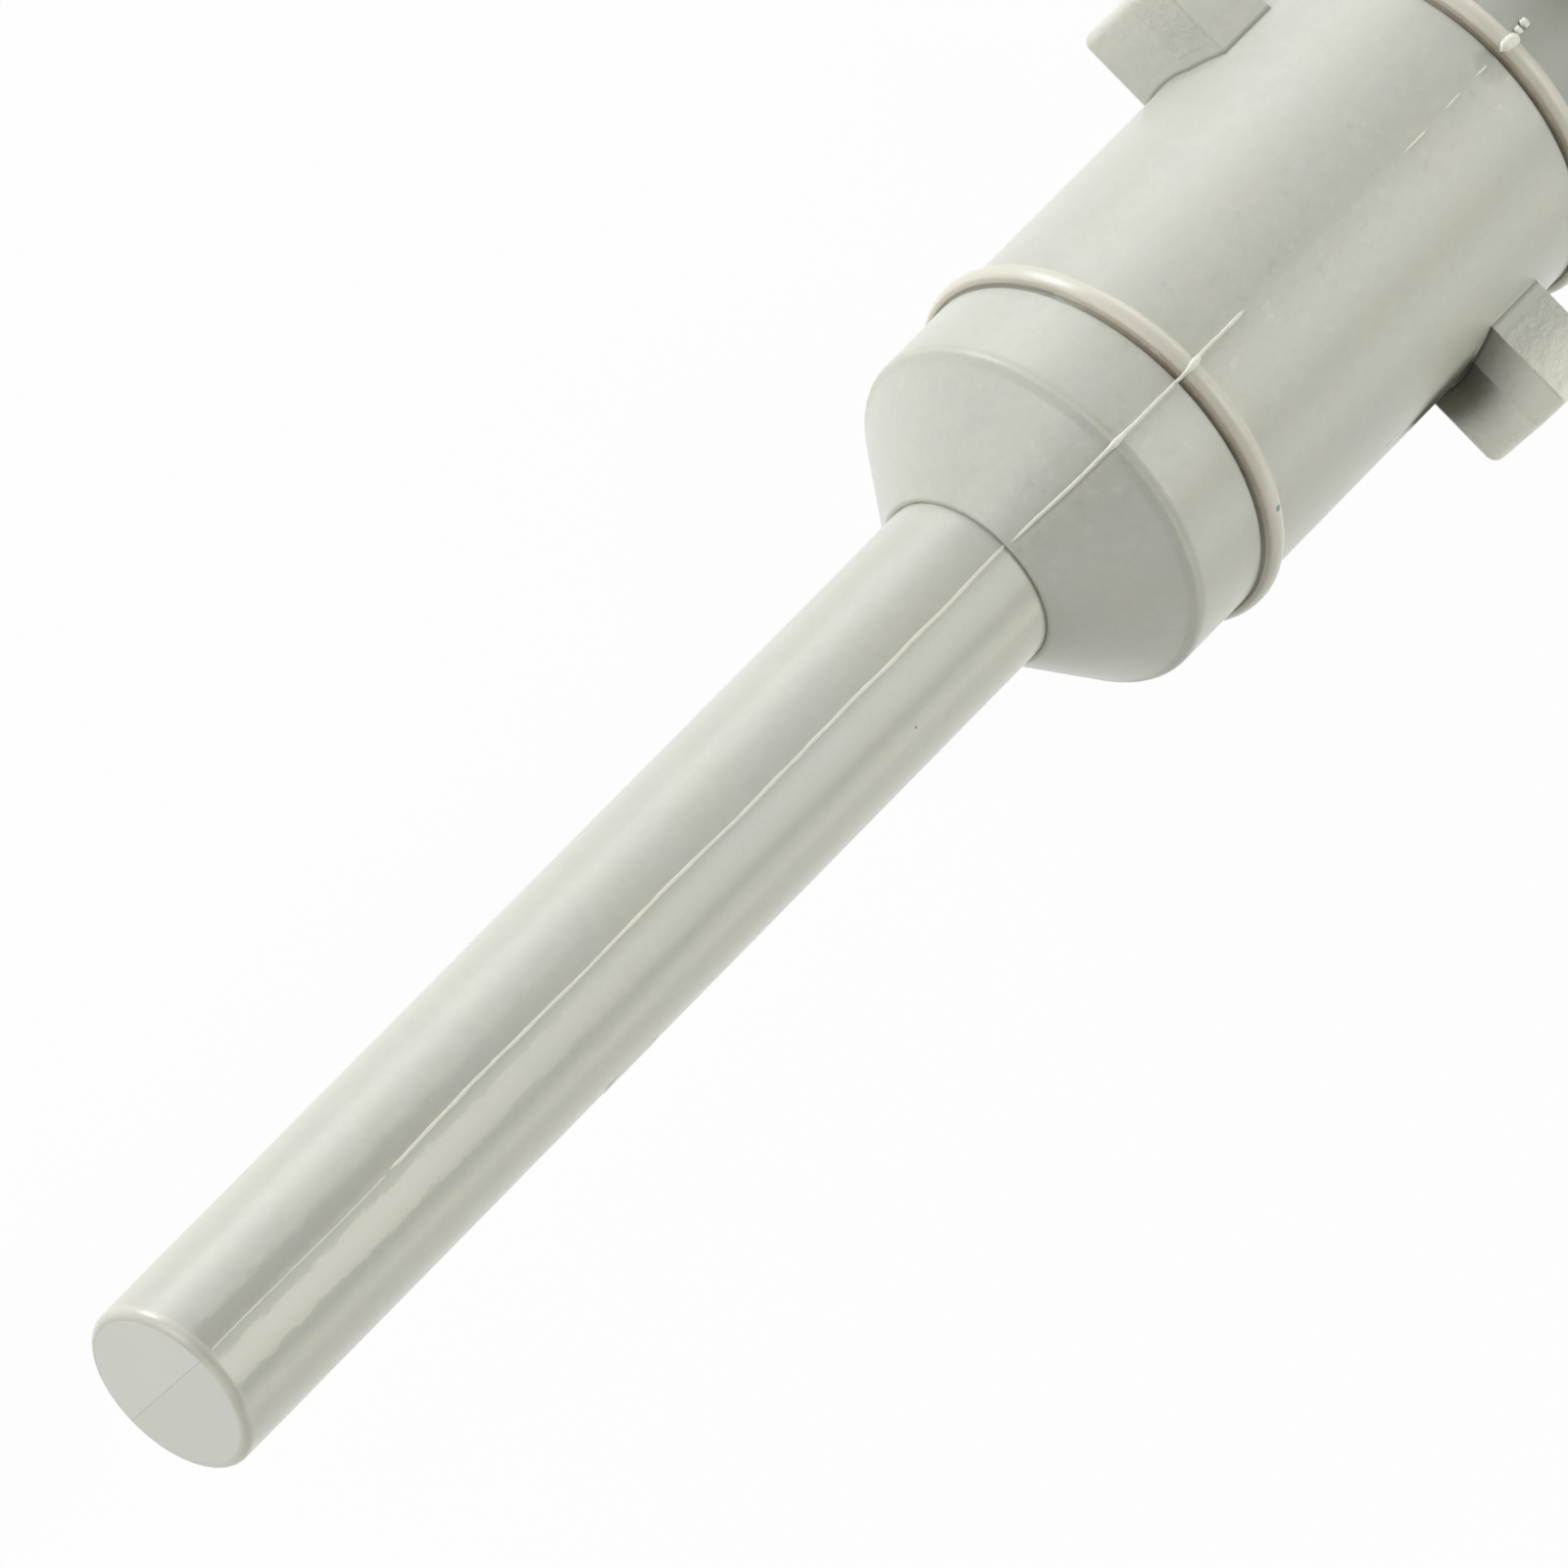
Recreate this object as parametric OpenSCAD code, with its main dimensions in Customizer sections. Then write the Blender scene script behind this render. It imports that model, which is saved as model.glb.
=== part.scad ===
// Hand-held desoldering pump: a spring-driven piston behind a heat-proof nozzle, loaded by a plunger rod and
// held by a latch plate until the button is pressed. The pump lies on its side. X runs along it, from the
// thumb end to the nozzle, Y runs across the two finger rests, and Z points up through the release button.
// The origin is the centre of the nozzle's mouth. Lengths are in millimetres.
// A station is a distance along the pump, counted from the cone's mouth towards the nozzle.

/* [Plunger rod] */
// Diameter of the rod
rod_d = 9.4; // [8.8:0.1:9.8]
// Length of the rod outside the housing when the pump is released
rod_exposed = 61.8; // [60:0.2:70]
// Edge radius of the thumb end
rod_edge_r = 0.45; // [0.2:0.05:0.8]
// Working stroke
stroke = 44; // [41:1:47]
// Depth of the latch groove
groove_depth = 1; // [0.7:0.1:1.2]
// Station of the latch groove when the pump is released
groove_a = 7; // [6.5:0.5:9]
// Diameter of the spigot that carries the piston
rod_spigot_d = 6; // [5.4:0.2:6.6]

/* [Rear housing] */
// Outer diameter of the housing
body_d = 20; // [19.6:0.1:21]
// Radial width of the lip at the cone's mouth
lip_w = 0.2; // [0.1:0.05:0.5]
// Length of the cone
cone_len = 5.15; // [4:0.05:6.5]
// Edge radius where the cone meets the band
cone_edge_r = 0.5; // [0.2:0.1:1.5]
// Length of the plain band between the cone and the first bead ring
band_len = 4.95; // [3.5:0.05:6]
// Distance from one bead ring to the other
ring_span = 25.75; // [23:0.05:27]
// Height of the bead rings
ring_h = 0.6; // [0.4:0.05:0.9]
// Radius of the bead rings' section
ring_r = 0.7; // [0.6:0.05:1]
// Radius of the fine groove at the foot of each bead ring, on the rod's side
ring_foot_r = 0.13; // [0.1:0.01:0.2]
// How far the waist in front of the second ring is drawn in
waist_depth = 1.1; // [0.4:0.1:1.4]
// Length of the waist's long taper
waist_taper = 5; // [3:0.5:5]
// Wall around the rod, between the bush and the latch
shell_wall = 2.6; // [2.5:0.05:2.8]
// Wall around the latch carrier
pocket_wall = 1.7; // [1.6:0.05:1.9]
// Wall around the barrel's rear spigot
socket_wall = 1.35; // [1.25:0.05:1.45]
// Number of stiffening ribs in front of the bush
rib_count = 4; // [2:1:5]
// Thickness of a rib
rib_t = 1; // [0.8:0.1:1.4]
// Diameter of the pegs that locate one shell on the other
peg_d = 1.2; // [1:0.1:1.4]
// Length of those pegs
peg_len = 1.2; // [0.8:0.1:2]

/* [Finger rests] */
// Reach of each finger rest beyond the housing
lug_reach = 4.3; // [3:0.1:6]
// Width of a finger rest across the pump
lug_w = 8.4; // [6:0.1:10]
// Length of a finger rest along the pump
lug_len = 5.8; // [5:0.1:8]
// Chamfer on the four standing edges, measured along the pump
lug_cut_len = 1.05; // [0.6:0.05:1.6]
// The same chamfer, measured across the pump
lug_cut_w = 1.7; // [0.8:0.05:2]
// Radius around the outer face
lug_edge_r = 0.6; // [0.3:0.05:0.8]
// Gap between the finger rests and the second bead ring
lug_gap = 2.5; // [1.5:0.1:5]

/* [Rod guide] */
// Length of the mouth's plain hole
mouth_len = 2; // [1.5:0.1:2.5]
// Thickness of the wiper
wiper_len = 2.4; // [1.6:0.1:2.4]
// Length of the bush behind its flange
bush_len = 16; // [12:0.5:18]
// Wall of the bush
bush_wall = 1.45; // [1.1:0.05:1.6]
// Thickness of the bush's flange
bush_flange = 1.6; // [1:0.1:2.4]

/* [Latch] */
// Diameter of the button
button_d = 9; // [8.6:0.2:10]
// Travel of the button
button_travel = 1.5; // [1.2:0.1:1.6]
// Thickness of the button's cap
button_cap = 1.4; // [1.2:0.1:2]
// Depth of the dish in the button's top
dish_depth = 0.4; // [0.2:0.05:0.6]
// Wall of the button's skirt
button_skirt = 0.7; // [0.6:0.05:0.8]
// Wall of the boss around the button
boss_wall = 1.4; // [1:0.1:1.8]
// Thickness of the latch plate
latch_t = 1.6; // [1.2:0.1:1.8]
// Width of the plate beside its hole
latch_web = 1.4; // [1.1:0.1:1.5]
// Width of the plate's tab
tab_w = 4; // [3.4:0.1:4]
// Length of the latch carrier
carrier_len = 12; // [9:0.5:12]
// Diameter of the cross pin
button_pin_d = 1; // [0.8:0.1:1.1]

/* [Barrel] */
// How far the barrel lies under the housing's surface
barrel_step = 0.1; // [0.05:0.05:0.2]
// Wall of the barrel
barrel_wall = 2.3; // [2.2:0.05:2.4]
// Length of the spigot inside the housing
barrel_spigot = 11; // [9:0.5:14]
// Height of the flange that the housing traps
flange_h = 0.45; // [0.3:0.05:0.6]
// Thickness of that flange
flange_t = 2; // [1.5:0.1:3]

/* [Piston] */
// Length of the piston
piston_len = 10; // [9:0.5:14]
// Section diameter of the sealing rings
piston_ring_d = 1.6; // [1.4:0.1:1.8]
// Thickness of the rear bumper
bumper_t = 2.3; // [1.5:0.1:4]
// Thickness of the piston's washer
washer_t = 1; // [0.6:0.1:1.5]
// Width of the screw's head across its flats
screw_af = 6; // [5.5:0.5:6.5]
// Height of the screw's head
screw_head = 2.6; // [2:0.1:4]
// Diameter of the screw
screw_d = 3.2; // [3:0.1:3.4]
// Length of the screw under its head
screw_len = 14; // [12.5:0.5:18]
// Diameter of the cleaning pin
pin_d = 1.4; // [1:0.1:1.6]
// How far the cleaning pin pokes out of the nozzle when the pump is loaded
pin_poke = 1; // [0.5:0.1:2]

/* [Springs] */
// Wire of the main spring
main_wire = 0.9; // [0.7:0.05:1]
// Turns of the main spring
main_turns = 11; // [9:1:13]
// Wire of the button's spring
button_wire = 0.45; // [0.35:0.05:0.5]
// Turns of the button's spring
button_turns = 3; // [3:1:5]

/* [Nose] */
// Length of the screwed spigot inside the barrel
nose_spigot = 8; // [7:0.5:10]
// Wall of the barrel around that spigot
nose_socket_wall = 1; // [0.9:0.05:1.1]
// Wall of the spigot
nose_wall = 1.8; // [1.7:0.05:1.9]
// Length of the fluted grip
grip_len = 5.2; // [4:0.1:8]
// Number of flutes
grip_flutes = 20; // [12:1:28]
// Length of the cone in front of the grip
nose_cone = 6; // [4:0.5:9]
// Diameter of the nose cap's front boss
nose_boss_d = 8.4; // [8.2:0.1:9]
// Length of the front boss
nose_boss = 4.5; // [3.5:0.5:7]
// Section diameter of the nose cap's sealing ring
nose_ring_d = 1.1; // [0.9:0.1:1.2]

/* [Nozzle] */
// Bore of the nozzle
nozzle_bore_d = 2.6; // [2.2:0.1:3]
// Outer diameter behind the taper
nozzle_d = 5.6; // [5:0.1:6]
// Outer diameter at the mouth
nozzle_tip_d = 3.8; // [3.6:0.1:4.4]
// Height of the collar that the nut holds
nozzle_collar_h = 0.2; // [0.1:0.05:0.3]
// Length of the plain stretch in front of the collar
nozzle_plain = 6.3; // [4:0.1:10]
// Length of the taper
nozzle_taper = 5; // [3:0.5:9]
// Thickness of the nozzle's flange
nozzle_flange = 1.4; // [1:0.1:2]
// Thickness of the nut's front wall
nut_wall = 1.4; // [1:0.1:2]
// Number of flutes on the nut
nut_flutes = 14; // [10:1:18]

/* [Clearances] */
// Running clearance of the rod, on the radius
run_gap = 0.05; // [0.03:0.01:0.1]
// Clearance of fixed round fits, on the radius
fit_gap = 0.05; // [0.03:0.01:0.08]
// Clearance of the rod in the cone's mouth, on the radius
mouth_gap = 0.05; // [0.05:0.01:0.1]
// Clearance between parts that move past each other
free_gap = 0.3; // [0.2:0.05:0.35]

/* [Hidden] */
$fn = 96;
over = 1;

rod_r = rod_d / 2;
body_r = body_d / 2;

// Outside of the rear housing
lip_r = rod_r + mouth_gap + lip_w;
cone_angle = atan2(body_r - lip_r, cone_len);
cone_tangent = cone_edge_r * tan(cone_angle / 2);
ring_half_w = sqrt(ring_r * ring_r - (ring_r - ring_h) * (ring_r - ring_h));
ring1_a = cone_len + band_len + ring_half_w;
ring2_a = ring1_a + ring_span;
lug_front_a = ring2_a - ring_half_w - lug_gap;
lug_a = lug_front_a - lug_len / 2;
waist_r = body_r - waist_depth;
housing_chamfer = 0.4;

// Inside of the rear housing
wiper_a = mouth_len;
bush_a = wiper_a + wiper_len;
bush_end = bush_a + bush_len;
bush_bore_r = rod_r + run_gap;
bush_r = bush_bore_r + bush_wall;
bush_chamfer = 0.4;
bore_r = body_r - shell_wall;
pocket_r = body_r - pocket_wall;
socket_r = body_r - socket_wall;
latch_a = groove_a + stroke;
pocket_a = latch_a - carrier_len / 2;
barrel_a = latch_a + carrier_len / 2;
housing_end = barrel_a + barrel_spigot;
spigot_r = socket_r - fit_gap;
flange_a = barrel_a + (barrel_spigot - flange_t) / 3;
carrier_r = pocket_r - fit_gap;
carrier_chamfer = 0.4;

// Ribs behind the latch, the first of which holds the bush's flange
rib_gap = 0.8;
rib_r = rod_r + rib_gap;
rib_a = bush_end + bush_flange + fit_gap + rib_t / 2;
rib_pitch = (pocket_a - rib_a) / rib_count;
rib_stations = [for (i = [0 : rib_count - 1]) rib_a + i * rib_pitch];

// Pegs on the parting plane
peg_root = 1;
peg_end_gap = 0.2;
peg_stations = [ring1_a, bush_end - peg_d, lug_a];

// Button and latch, as heights above the pump's axis
floor_t = 1;
floor_h = pocket_r + floor_t;
spring_slack = 0.1;
cap_h = floor_h + button_travel + (button_turns + 1) * button_wire + spring_slack;
button_top = cap_h + button_cap;
button_edge = 0.4;
dish_r = 12;
boss_top = button_top - button_travel - free_gap;
skirt_h = floor_h + button_travel + free_gap;
button_r = button_d / 2;
button_gap = 0.1;
button_guide_r = button_r + button_gap;
boss_r = button_guide_r + boss_wall;
boss_edge_r = 0.5;
hub_wall = 0.35;
hub_r = tab_w / 2 + hub_wall;
hub_gap = 0.15;
hub_hole_r = hub_r + hub_gap;
hub_rise = 0.6;
hub_h = floor_h + hub_rise;
button_pin_rise = 1;
button_pin_h = hub_h + button_pin_rise;
button_pin_inset = 0.1;
tab_gap = 0.2;
tab_top = cap_h - tab_gap;
coil_gap = 0.2;
button_spring_r = button_r - button_skirt - button_wire / 2 - coil_gap;
plate_gap = 0.25;
plate_r = pocket_r - plate_gap - button_travel / 2;
plate_half_w = rod_r + free_gap + latch_web;
plate_hole_r = rod_r + free_gap;
plate_touch = 0.1;
plate_side_gap = 0.2;
slot_play = 0.3;
slot_t = latch_t + slot_play;
groove_play = 1;
groove_w = latch_t + groove_play;

// Piston and its stroke
barrel_r = body_r - barrel_step;
barrel_bore_r = barrel_r - barrel_wall;
barrel_chamfer = 0.3;
bumper_end = barrel_a + bumper_t;
piston_a = bumper_end + free_gap;
piston_end = piston_a + piston_len;
piston_gap = 0.15;
piston_r = barrel_bore_r - piston_gap;
piston_chamfer = 0.4;
seal_gap = 0.02;
ring_play = 0.3;
piston_ring_r = piston_ring_d / 2;
piston_ring_mid_r = barrel_bore_r - run_gap - piston_ring_r;
piston_groove_r = piston_ring_mid_r - piston_ring_r - seal_gap;
piston_groove_w = piston_ring_d + ring_play;
piston_land = 1.8;
piston_groove_inset = piston_land + piston_groove_w / 2;
piston_grooves = [piston_a + piston_groove_inset, piston_end - piston_groove_inset];
rod_spigot_r = rod_spigot_d / 2;
rod_spigot_gap = 0.1;
washer_end = piston_end + washer_t;
screw_end = washer_end + screw_head;
screw_hole_r = screw_d / 2 + fit_gap;
screw_hole_extra = 0.5;
pin_seat = 4;
pin_r = pin_d / 2;

// Main spring, behind its seat in the nose
main_gap = 0.85;
main_r = barrel_bore_r - main_gap - main_wire / 2;
main_slack = 0.6;
spring_a = piston_end;
seat_a = piston_end + stroke + (main_turns + 1) * main_wire + main_slack;
seat_t = 0.8;
seat_end = seat_a + seat_t;
seat_hole_r = pin_r + 2;
washer_gap = 0.5;
washer_r = main_r - main_wire / 2 - washer_gap;

// Nose cap, nut and nozzle
nose_gap = 0.7;
nose_a = piston_end + stroke + nose_gap;
barrel_end = nose_a + nose_spigot;
nose_socket_r = barrel_r - nose_socket_wall;
nose_spigot_r = nose_socket_r - fit_gap;
nose_bore_r = nose_spigot_r - nose_wall;
nose_ring_a = nose_a + nose_spigot / 2;
nose_ring_r = nose_ring_d / 2;
nose_ring_mid_r = nose_socket_r - nose_ring_r - seal_gap;
nose_groove_r = nose_ring_mid_r - nose_ring_r - seal_gap;
nose_groove_w = nose_ring_d + ring_play;
grip_step = 0.1;
grip_r = barrel_r - grip_step;
grip_edge = 0.2;
grip_chamfer = 0.8;
grip_end = barrel_end + grip_len;
flute_r = 1;
flute_depth = 0.5;
flute_start = 1;
cone_end = max(grip_end, seat_end) + nose_cone;
nose_boss_r = nose_boss_d / 2;
nose_front = cone_end + nose_boss;
nozzle_r = nozzle_d / 2;
nozzle_bore_r = nozzle_bore_d / 2;
nozzle_tip_r = nozzle_tip_d / 2;
nozzle_tail_wall = 0.6;
nozzle_tail_r = nozzle_bore_r + nozzle_tail_wall;
nozzle_socket_r = nozzle_tail_r + fit_gap;
nozzle_tail = 3.5;
nozzle_tail_a = nose_front - nozzle_tail;
nozzle_ring_r = 0.5;
recess_room = 0.1;
nozzle_recess_r = nozzle_socket_r + 2 * nozzle_ring_r + recess_room;
funnel_step = 0.6;
funnel_lead = 2;
funnel_end = nozzle_tail_a - funnel_lead;
nut_side = 1.6;
nut_r = nose_boss_r + nut_side;
nut_lift = 0.5;
nut_a = cone_end + nut_lift;
nut_step = nose_front + nozzle_flange;
nut_end = nut_step + nut_wall;
nut_edge = 0.4;
nut_flute_r = 0.8;
nut_flute_depth = 0.4;
nozzle_collar_r = nozzle_r + nozzle_collar_h;
nozzle_collar_len = 0.3;
nozzle_collar_end = nut_end + nozzle_collar_len;
taper_a = nozzle_collar_end + nozzle_plain;
nozzle_end = taper_a + nozzle_taper;
pin_tip = nozzle_end + pin_poke - stroke;

// Colours
SHELL = [0.82, 0.83, 0.78];
ROD = [0.80, 0.81, 0.76];
BARREL = [0.80, 0.81, 0.76];
NOSE = [0.42, 0.44, 0.42];
BUTTON = [0.42, 0.44, 0.42];
ACETAL = [0.93, 0.92, 0.87];
PTFE = [0.95, 0.95, 0.93];
RUBBER = [0.10, 0.10, 0.10];
STEEL = [0.72, 0.73, 0.75];
FELT = [0.60, 0.58, 0.52];

// Places what is drawn along +Z, with its stations as heights, along the pump. X turns to Y and Y to Z.
module along_pump() {
    translate([-nozzle_end, 0, 0])
        rotate([90, 0, 90])
            children();
}

// Places what is drawn along +Z, with its heights above the pump's axis, on the button's axis
module on_button_axis() {
    translate([0, 0, latch_a])
        rotate([-90, 0, 0])
            children();
}

// A solid cylinder from one station to another
module bar(r, from, to) {
    translate([0, 0, from])
        cylinder(r = r, h = to - from);
}

// A tube from one station to another
module tube(r, inner_r, from, to) {
    difference() {
        bar(r, from, to);
        bar(inner_r, from - over, to + over);
    }
}

// A round sealing ring
module seal_ring(mid_r, section_r, a) {
    translate([0, 0, a])
        rotate_extrude()
            translate([mid_r, 0])
                circle(r = section_r);
}

// Flutes cut to a depth along a round grip
module flutes(count, grip_r, flute_r, depth, from, to) {
    for (i = [0 : count - 1])
        rotate([0, 0, (i + 0.5) * 360 / count])
            translate([grip_r + flute_r - depth, 0, 0])
                bar(flute_r, from, to);
}

// Height of a closed-ended coil after a number of turns
function coil_height(t, turns, wire, length) =
    let (dead = wire * 1.03, rest = length - wire - 2 * dead)
    t < 1 ? wire / 2 + dead * t
    : t > turns - 1 ? length - wire / 2 - dead * (turns - t)
    : wire / 2 + dead + rest * (t - 1) / (turns - 2);

// A compression spring with closed ends, standing on the origin
module coil_spring(mid_r, wire, turns, length) {
    steps = 20;
    sides = 8;
    rings = turns * steps;
    points = [
        for (i = [0 : rings], k = [0 : sides - 1])
            let (
                around = i * 360 / steps,
                r = mid_r + wire / 2 * cos(k * 360 / sides),
                z = coil_height(i / steps, turns, wire, length) + wire / 2 * sin(k * 360 / sides)
            )
            [r * cos(around), r * sin(around), z]
    ];
    walls = [
        for (i = [0 : rings - 1], k = [0 : sides - 1])
            let (here = i * sides, next = here + sides, j = (k + 1) % sides)
            each [[here + k, here + j, next + k], [here + j, next + j, next + k]]
    ];
    first_end = [for (k = [0 : sides - 1]) sides - 1 - k];
    last_end = [for (k = [0 : sides - 1]) rings * sides + k];
    polyhedron(points = points, faces = concat([first_end], walls, [last_end]));
}

// Points of an arc around a centre, from one angle to another
function arc(centre, r, from, to, steps = 8) = [
    for (i = [0 : steps])
        let (angle = from + (to - from) * i / steps)
        centre + r * [cos(angle), sin(angle)]
];

// Half-section of the rear housing's outside: radius to the right, station upwards
module housing_section() {
    cone_edge = arc([body_r - cone_edge_r, cone_len + cone_tangent], cone_edge_r, -cone_angle, 0);
    difference() {
        union() {
            polygon(concat(
                [[0, 0], [lip_r, 0]],
                cone_edge,
                [
                    [body_r, ring2_a + ring_half_w],
                    [waist_r, ring2_a + ring_half_w + waist_taper],
                    [body_r, pocket_a + over],
                    [body_r, housing_end - housing_chamfer],
                    [body_r - housing_chamfer, housing_end],
                    [0, housing_end]
                ]
            ));
            for (a = [ring1_a, ring2_a])
                translate([body_r + ring_h - ring_r, a])
                    circle(r = ring_r, $fn = 48);
        }
        for (a = [ring1_a, ring2_a])
            translate([body_r, a - ring_half_w])
                circle(r = ring_foot_r, $fn = 16);
    }
}

// One leg of a chamfer after its outline is drawn in by an inset
function drawn_in(leg, other, inset) = leg - inset * (1 - (norm([leg, other]) - leg) / other);

// Outline of a finger rest seen from its tip, drawn in by an inset: width to the right, length upwards
module lug_outline(inset) {
    w = lug_w / 2 - inset;
    len = lug_len / 2 - inset;
    cut_w = drawn_in(lug_cut_w, lug_cut_len, inset);
    cut_len = drawn_in(lug_cut_len, lug_cut_w, inset);
    polygon([
        [w, cut_len - len], [w, len - cut_len], [w - cut_w, len], [cut_w - w, len],
        [-w, len - cut_len], [-w, cut_len - len], [cut_w - w, -len], [w - cut_w, -len]
    ]);
}

// The finger rest on +X: a chamfered block that rounds over into its outer face
module finger_rest() {
    steps = 8;
    reach = body_r + lug_reach;
    translate([0, 0, lug_a])
        rotate([90, 0, 90])
            hull()
                for (angle = [0 : 90 / steps : 90])
                    linear_extrude(reach - lug_edge_r * (1 - sin(angle)))
                        lug_outline(lug_edge_r * (1 - cos(angle)));
}

// The boss around the button, drawn upwards from the pump's axis
module button_boss() {
    rotate_extrude() {
        square([boss_r, boss_top - boss_edge_r]);
        square([boss_r - boss_edge_r, boss_top]);
        translate([boss_r - boss_edge_r, boss_top - boss_edge_r])
            circle(r = boss_edge_r);
    }
}

// The plain bore in front of the bush, crossed by stiffening ribs
module ribbed_bore() {
    difference() {
        bar(bore_r, bush_end, pocket_a + over);
        for (a = rib_stations)
            tube(bore_r + over, rib_r, a - rib_t / 2, a + rib_t / 2);
    }
}

// Everything that the two shells leave open, from the mouth to the barrel's socket
module housing_cavity() {
    bar(rod_r + mouth_gap, -over, wiper_a + over);
    bar(bush_r + fit_gap, wiper_a, bush_end + over);
    ribbed_bore();
    bar(pocket_r, pocket_a, barrel_a + over);
    bar(socket_r, barrel_a, housing_end + over);
    bar(socket_r + flange_h, flange_a, flange_a + flange_t);
    on_button_axis() {
        bar(hub_hole_r, 0, boss_top);
        bar(button_guide_r, floor_h, boss_top + over);
    }
}

// The whole rear housing, before it is split along the parting plane
module housing() {
    difference() {
        union() {
            rotate_extrude()
                housing_section();
            finger_rest();
            mirror([1, 0, 0])
                finger_rest();
            on_button_axis()
                button_boss();
        }
        housing_cavity();
    }
}

// All that lies on one side of the parting plane
module half_space(side) {
    reach = body_r + lug_reach + boss_top;
    translate([side > 0 ? 0 : -reach, -reach, -over])
        cube([reach, 2 * reach, housing_end + 2 * over]);
}

// Height of a peg above the axis: the middle of the wall at its station
function peg_height(a) = (body_r + (a < bush_end ? bush_r + fit_gap : bore_r)) / 2;

// Round pegs across the parting plane, or the holes for them, from one depth to another
module pegs(r, from, to) {
    for (a = peg_stations, side = [-1, 1])
        translate([from, side * peg_height(a), a])
            rotate([0, 90, 0])
                cylinder(r = r, h = to - from);
}

module left_shell() {
    color(SHELL)
        along_pump() {
            intersection() {
                housing();
                half_space(1);
            }
            pegs(peg_d / 2, -peg_len, peg_root);
        }
}

module right_shell() {
    color(SHELL)
        along_pump()
            difference() {
                intersection() {
                    housing();
                    half_space(-1);
                }
                pegs(peg_d / 2 + fit_gap, -peg_len - peg_end_gap, over);
            }
}

module rod_wiper() {
    color(FELT)
        along_pump()
            tube(bush_r, rod_r + run_gap, wiper_a, bush_a);
}

module rod_guide_bush() {
    flange_end = bush_end + bush_flange;
    flange_r = bore_r - fit_gap;
    color(ACETAL)
        along_pump()
            rotate_extrude()
                polygon([
                    [bush_bore_r, bush_a],
                    [bush_r - bush_chamfer, bush_a],
                    [bush_r, bush_a + bush_chamfer],
                    [bush_r, bush_end],
                    [flange_r, bush_end],
                    [flange_r, flange_end],
                    [bush_bore_r, flange_end]
                ]);
}

// The block that the latch plate slides in, trapped between the housing's step and the barrel
module latch_carrier() {
    slot_w = 2 * (plate_half_w + plate_side_gap);
    hole_r = rod_r + mouth_gap;
    color(ACETAL)
        along_pump()
            difference() {
                rotate_extrude()
                    polygon([
                        [hole_r, pocket_a],
                        [carrier_r - carrier_chamfer, pocket_a],
                        [carrier_r, pocket_a + carrier_chamfer],
                        [carrier_r, barrel_a - carrier_chamfer],
                        [carrier_r - carrier_chamfer, barrel_a],
                        [hole_r, barrel_a]
                    ]);
                translate([-slot_w / 2, -body_r, latch_a - slot_t / 2])
                    cube([slot_w, 2 * body_r, slot_t]);
            }
}

// Outline of the latch plate: a round-ended plate and its tab, with an elongated hole for the rod
module latch_outline() {
    plate_mid = button_travel / 2;
    hole_low = plate_hole_r - rod_r - plate_touch;
    hole_high = button_travel;
    difference() {
        union() {
            intersection() {
                translate([0, plate_mid])
                    circle(r = plate_r);
                square([2 * plate_half_w, 4 * plate_r], center = true);
            }
            translate([-tab_w / 2, plate_r - over])
                square([tab_w, tab_top - plate_r + over]);
        }
        for (y = [hole_low, hole_high])
            translate([0, y])
                circle(r = plate_hole_r);
        translate([-plate_hole_r, hole_low])
            square([2 * plate_hole_r, hole_high - hole_low]);
        translate([0, button_pin_h])
            circle(d = button_pin_d);
    }
}

module latch_plate() {
    color(STEEL)
        along_pump()
            translate([0, 0, latch_a - latch_t / 2])
                linear_extrude(latch_t)
                    latch_outline();
}

// A hollow button with a dished top, on a forked hub that takes the latch plate's tab
module release_button() {
    dish_angle = acos(1 - dish_depth / dish_r);
    dish = arc([0, button_top + dish_r - dish_depth], dish_r, dish_angle - 90, -90);
    color(BUTTON)
        along_pump()
            on_button_axis()
                difference() {
                    rotate_extrude()
                        polygon(concat(
                            [
                                [0, hub_h],
                                [hub_r, hub_h],
                                [hub_r, cap_h],
                                [button_r - button_skirt, cap_h],
                                [button_r - button_skirt, skirt_h],
                                [button_r, skirt_h],
                                [button_r, button_top - button_edge],
                                [button_r - button_edge, button_top]
                            ],
                            dish
                        ));
                    translate([-hub_r - over, -latch_t / 2, hub_h - over])
                        cube([2 * (hub_r + over), latch_t, tab_top - hub_h + over]);
                    translate([0, 0, button_pin_h])
                        rotate([90, 0, 0])
                            cylinder(d = button_pin_d, h = 2 * button_r, center = true);
                }
}

module button_pin() {
    half_len = hub_r - button_pin_inset;
    color(STEEL)
        along_pump()
            translate([0, button_pin_h, latch_a - half_len])
                cylinder(d = button_pin_d, h = 2 * half_len);
}

module button_spring() {
    color(STEEL)
        along_pump()
            on_button_axis()
                translate([0, 0, floor_h])
                    coil_spring(button_spring_r, button_wire, button_turns, cap_h - floor_h);
}

module barrel() {
    color(BARREL)
        along_pump()
            rotate_extrude()
                polygon([
                    [barrel_bore_r, barrel_a],
                    [spigot_r, barrel_a],
                    [spigot_r, flange_a],
                    [spigot_r + flange_h, flange_a],
                    [spigot_r + flange_h, flange_a + flange_t],
                    [spigot_r, flange_a + flange_t],
                    [spigot_r, housing_end],
                    [barrel_r - barrel_chamfer, housing_end],
                    [barrel_r, housing_end + barrel_chamfer],
                    [barrel_r, barrel_end - barrel_chamfer],
                    [barrel_r - barrel_chamfer, barrel_end],
                    [nose_socket_r, barrel_end],
                    [nose_socket_r, nose_a],
                    [barrel_bore_r, nose_a]
                ]);
}

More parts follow.
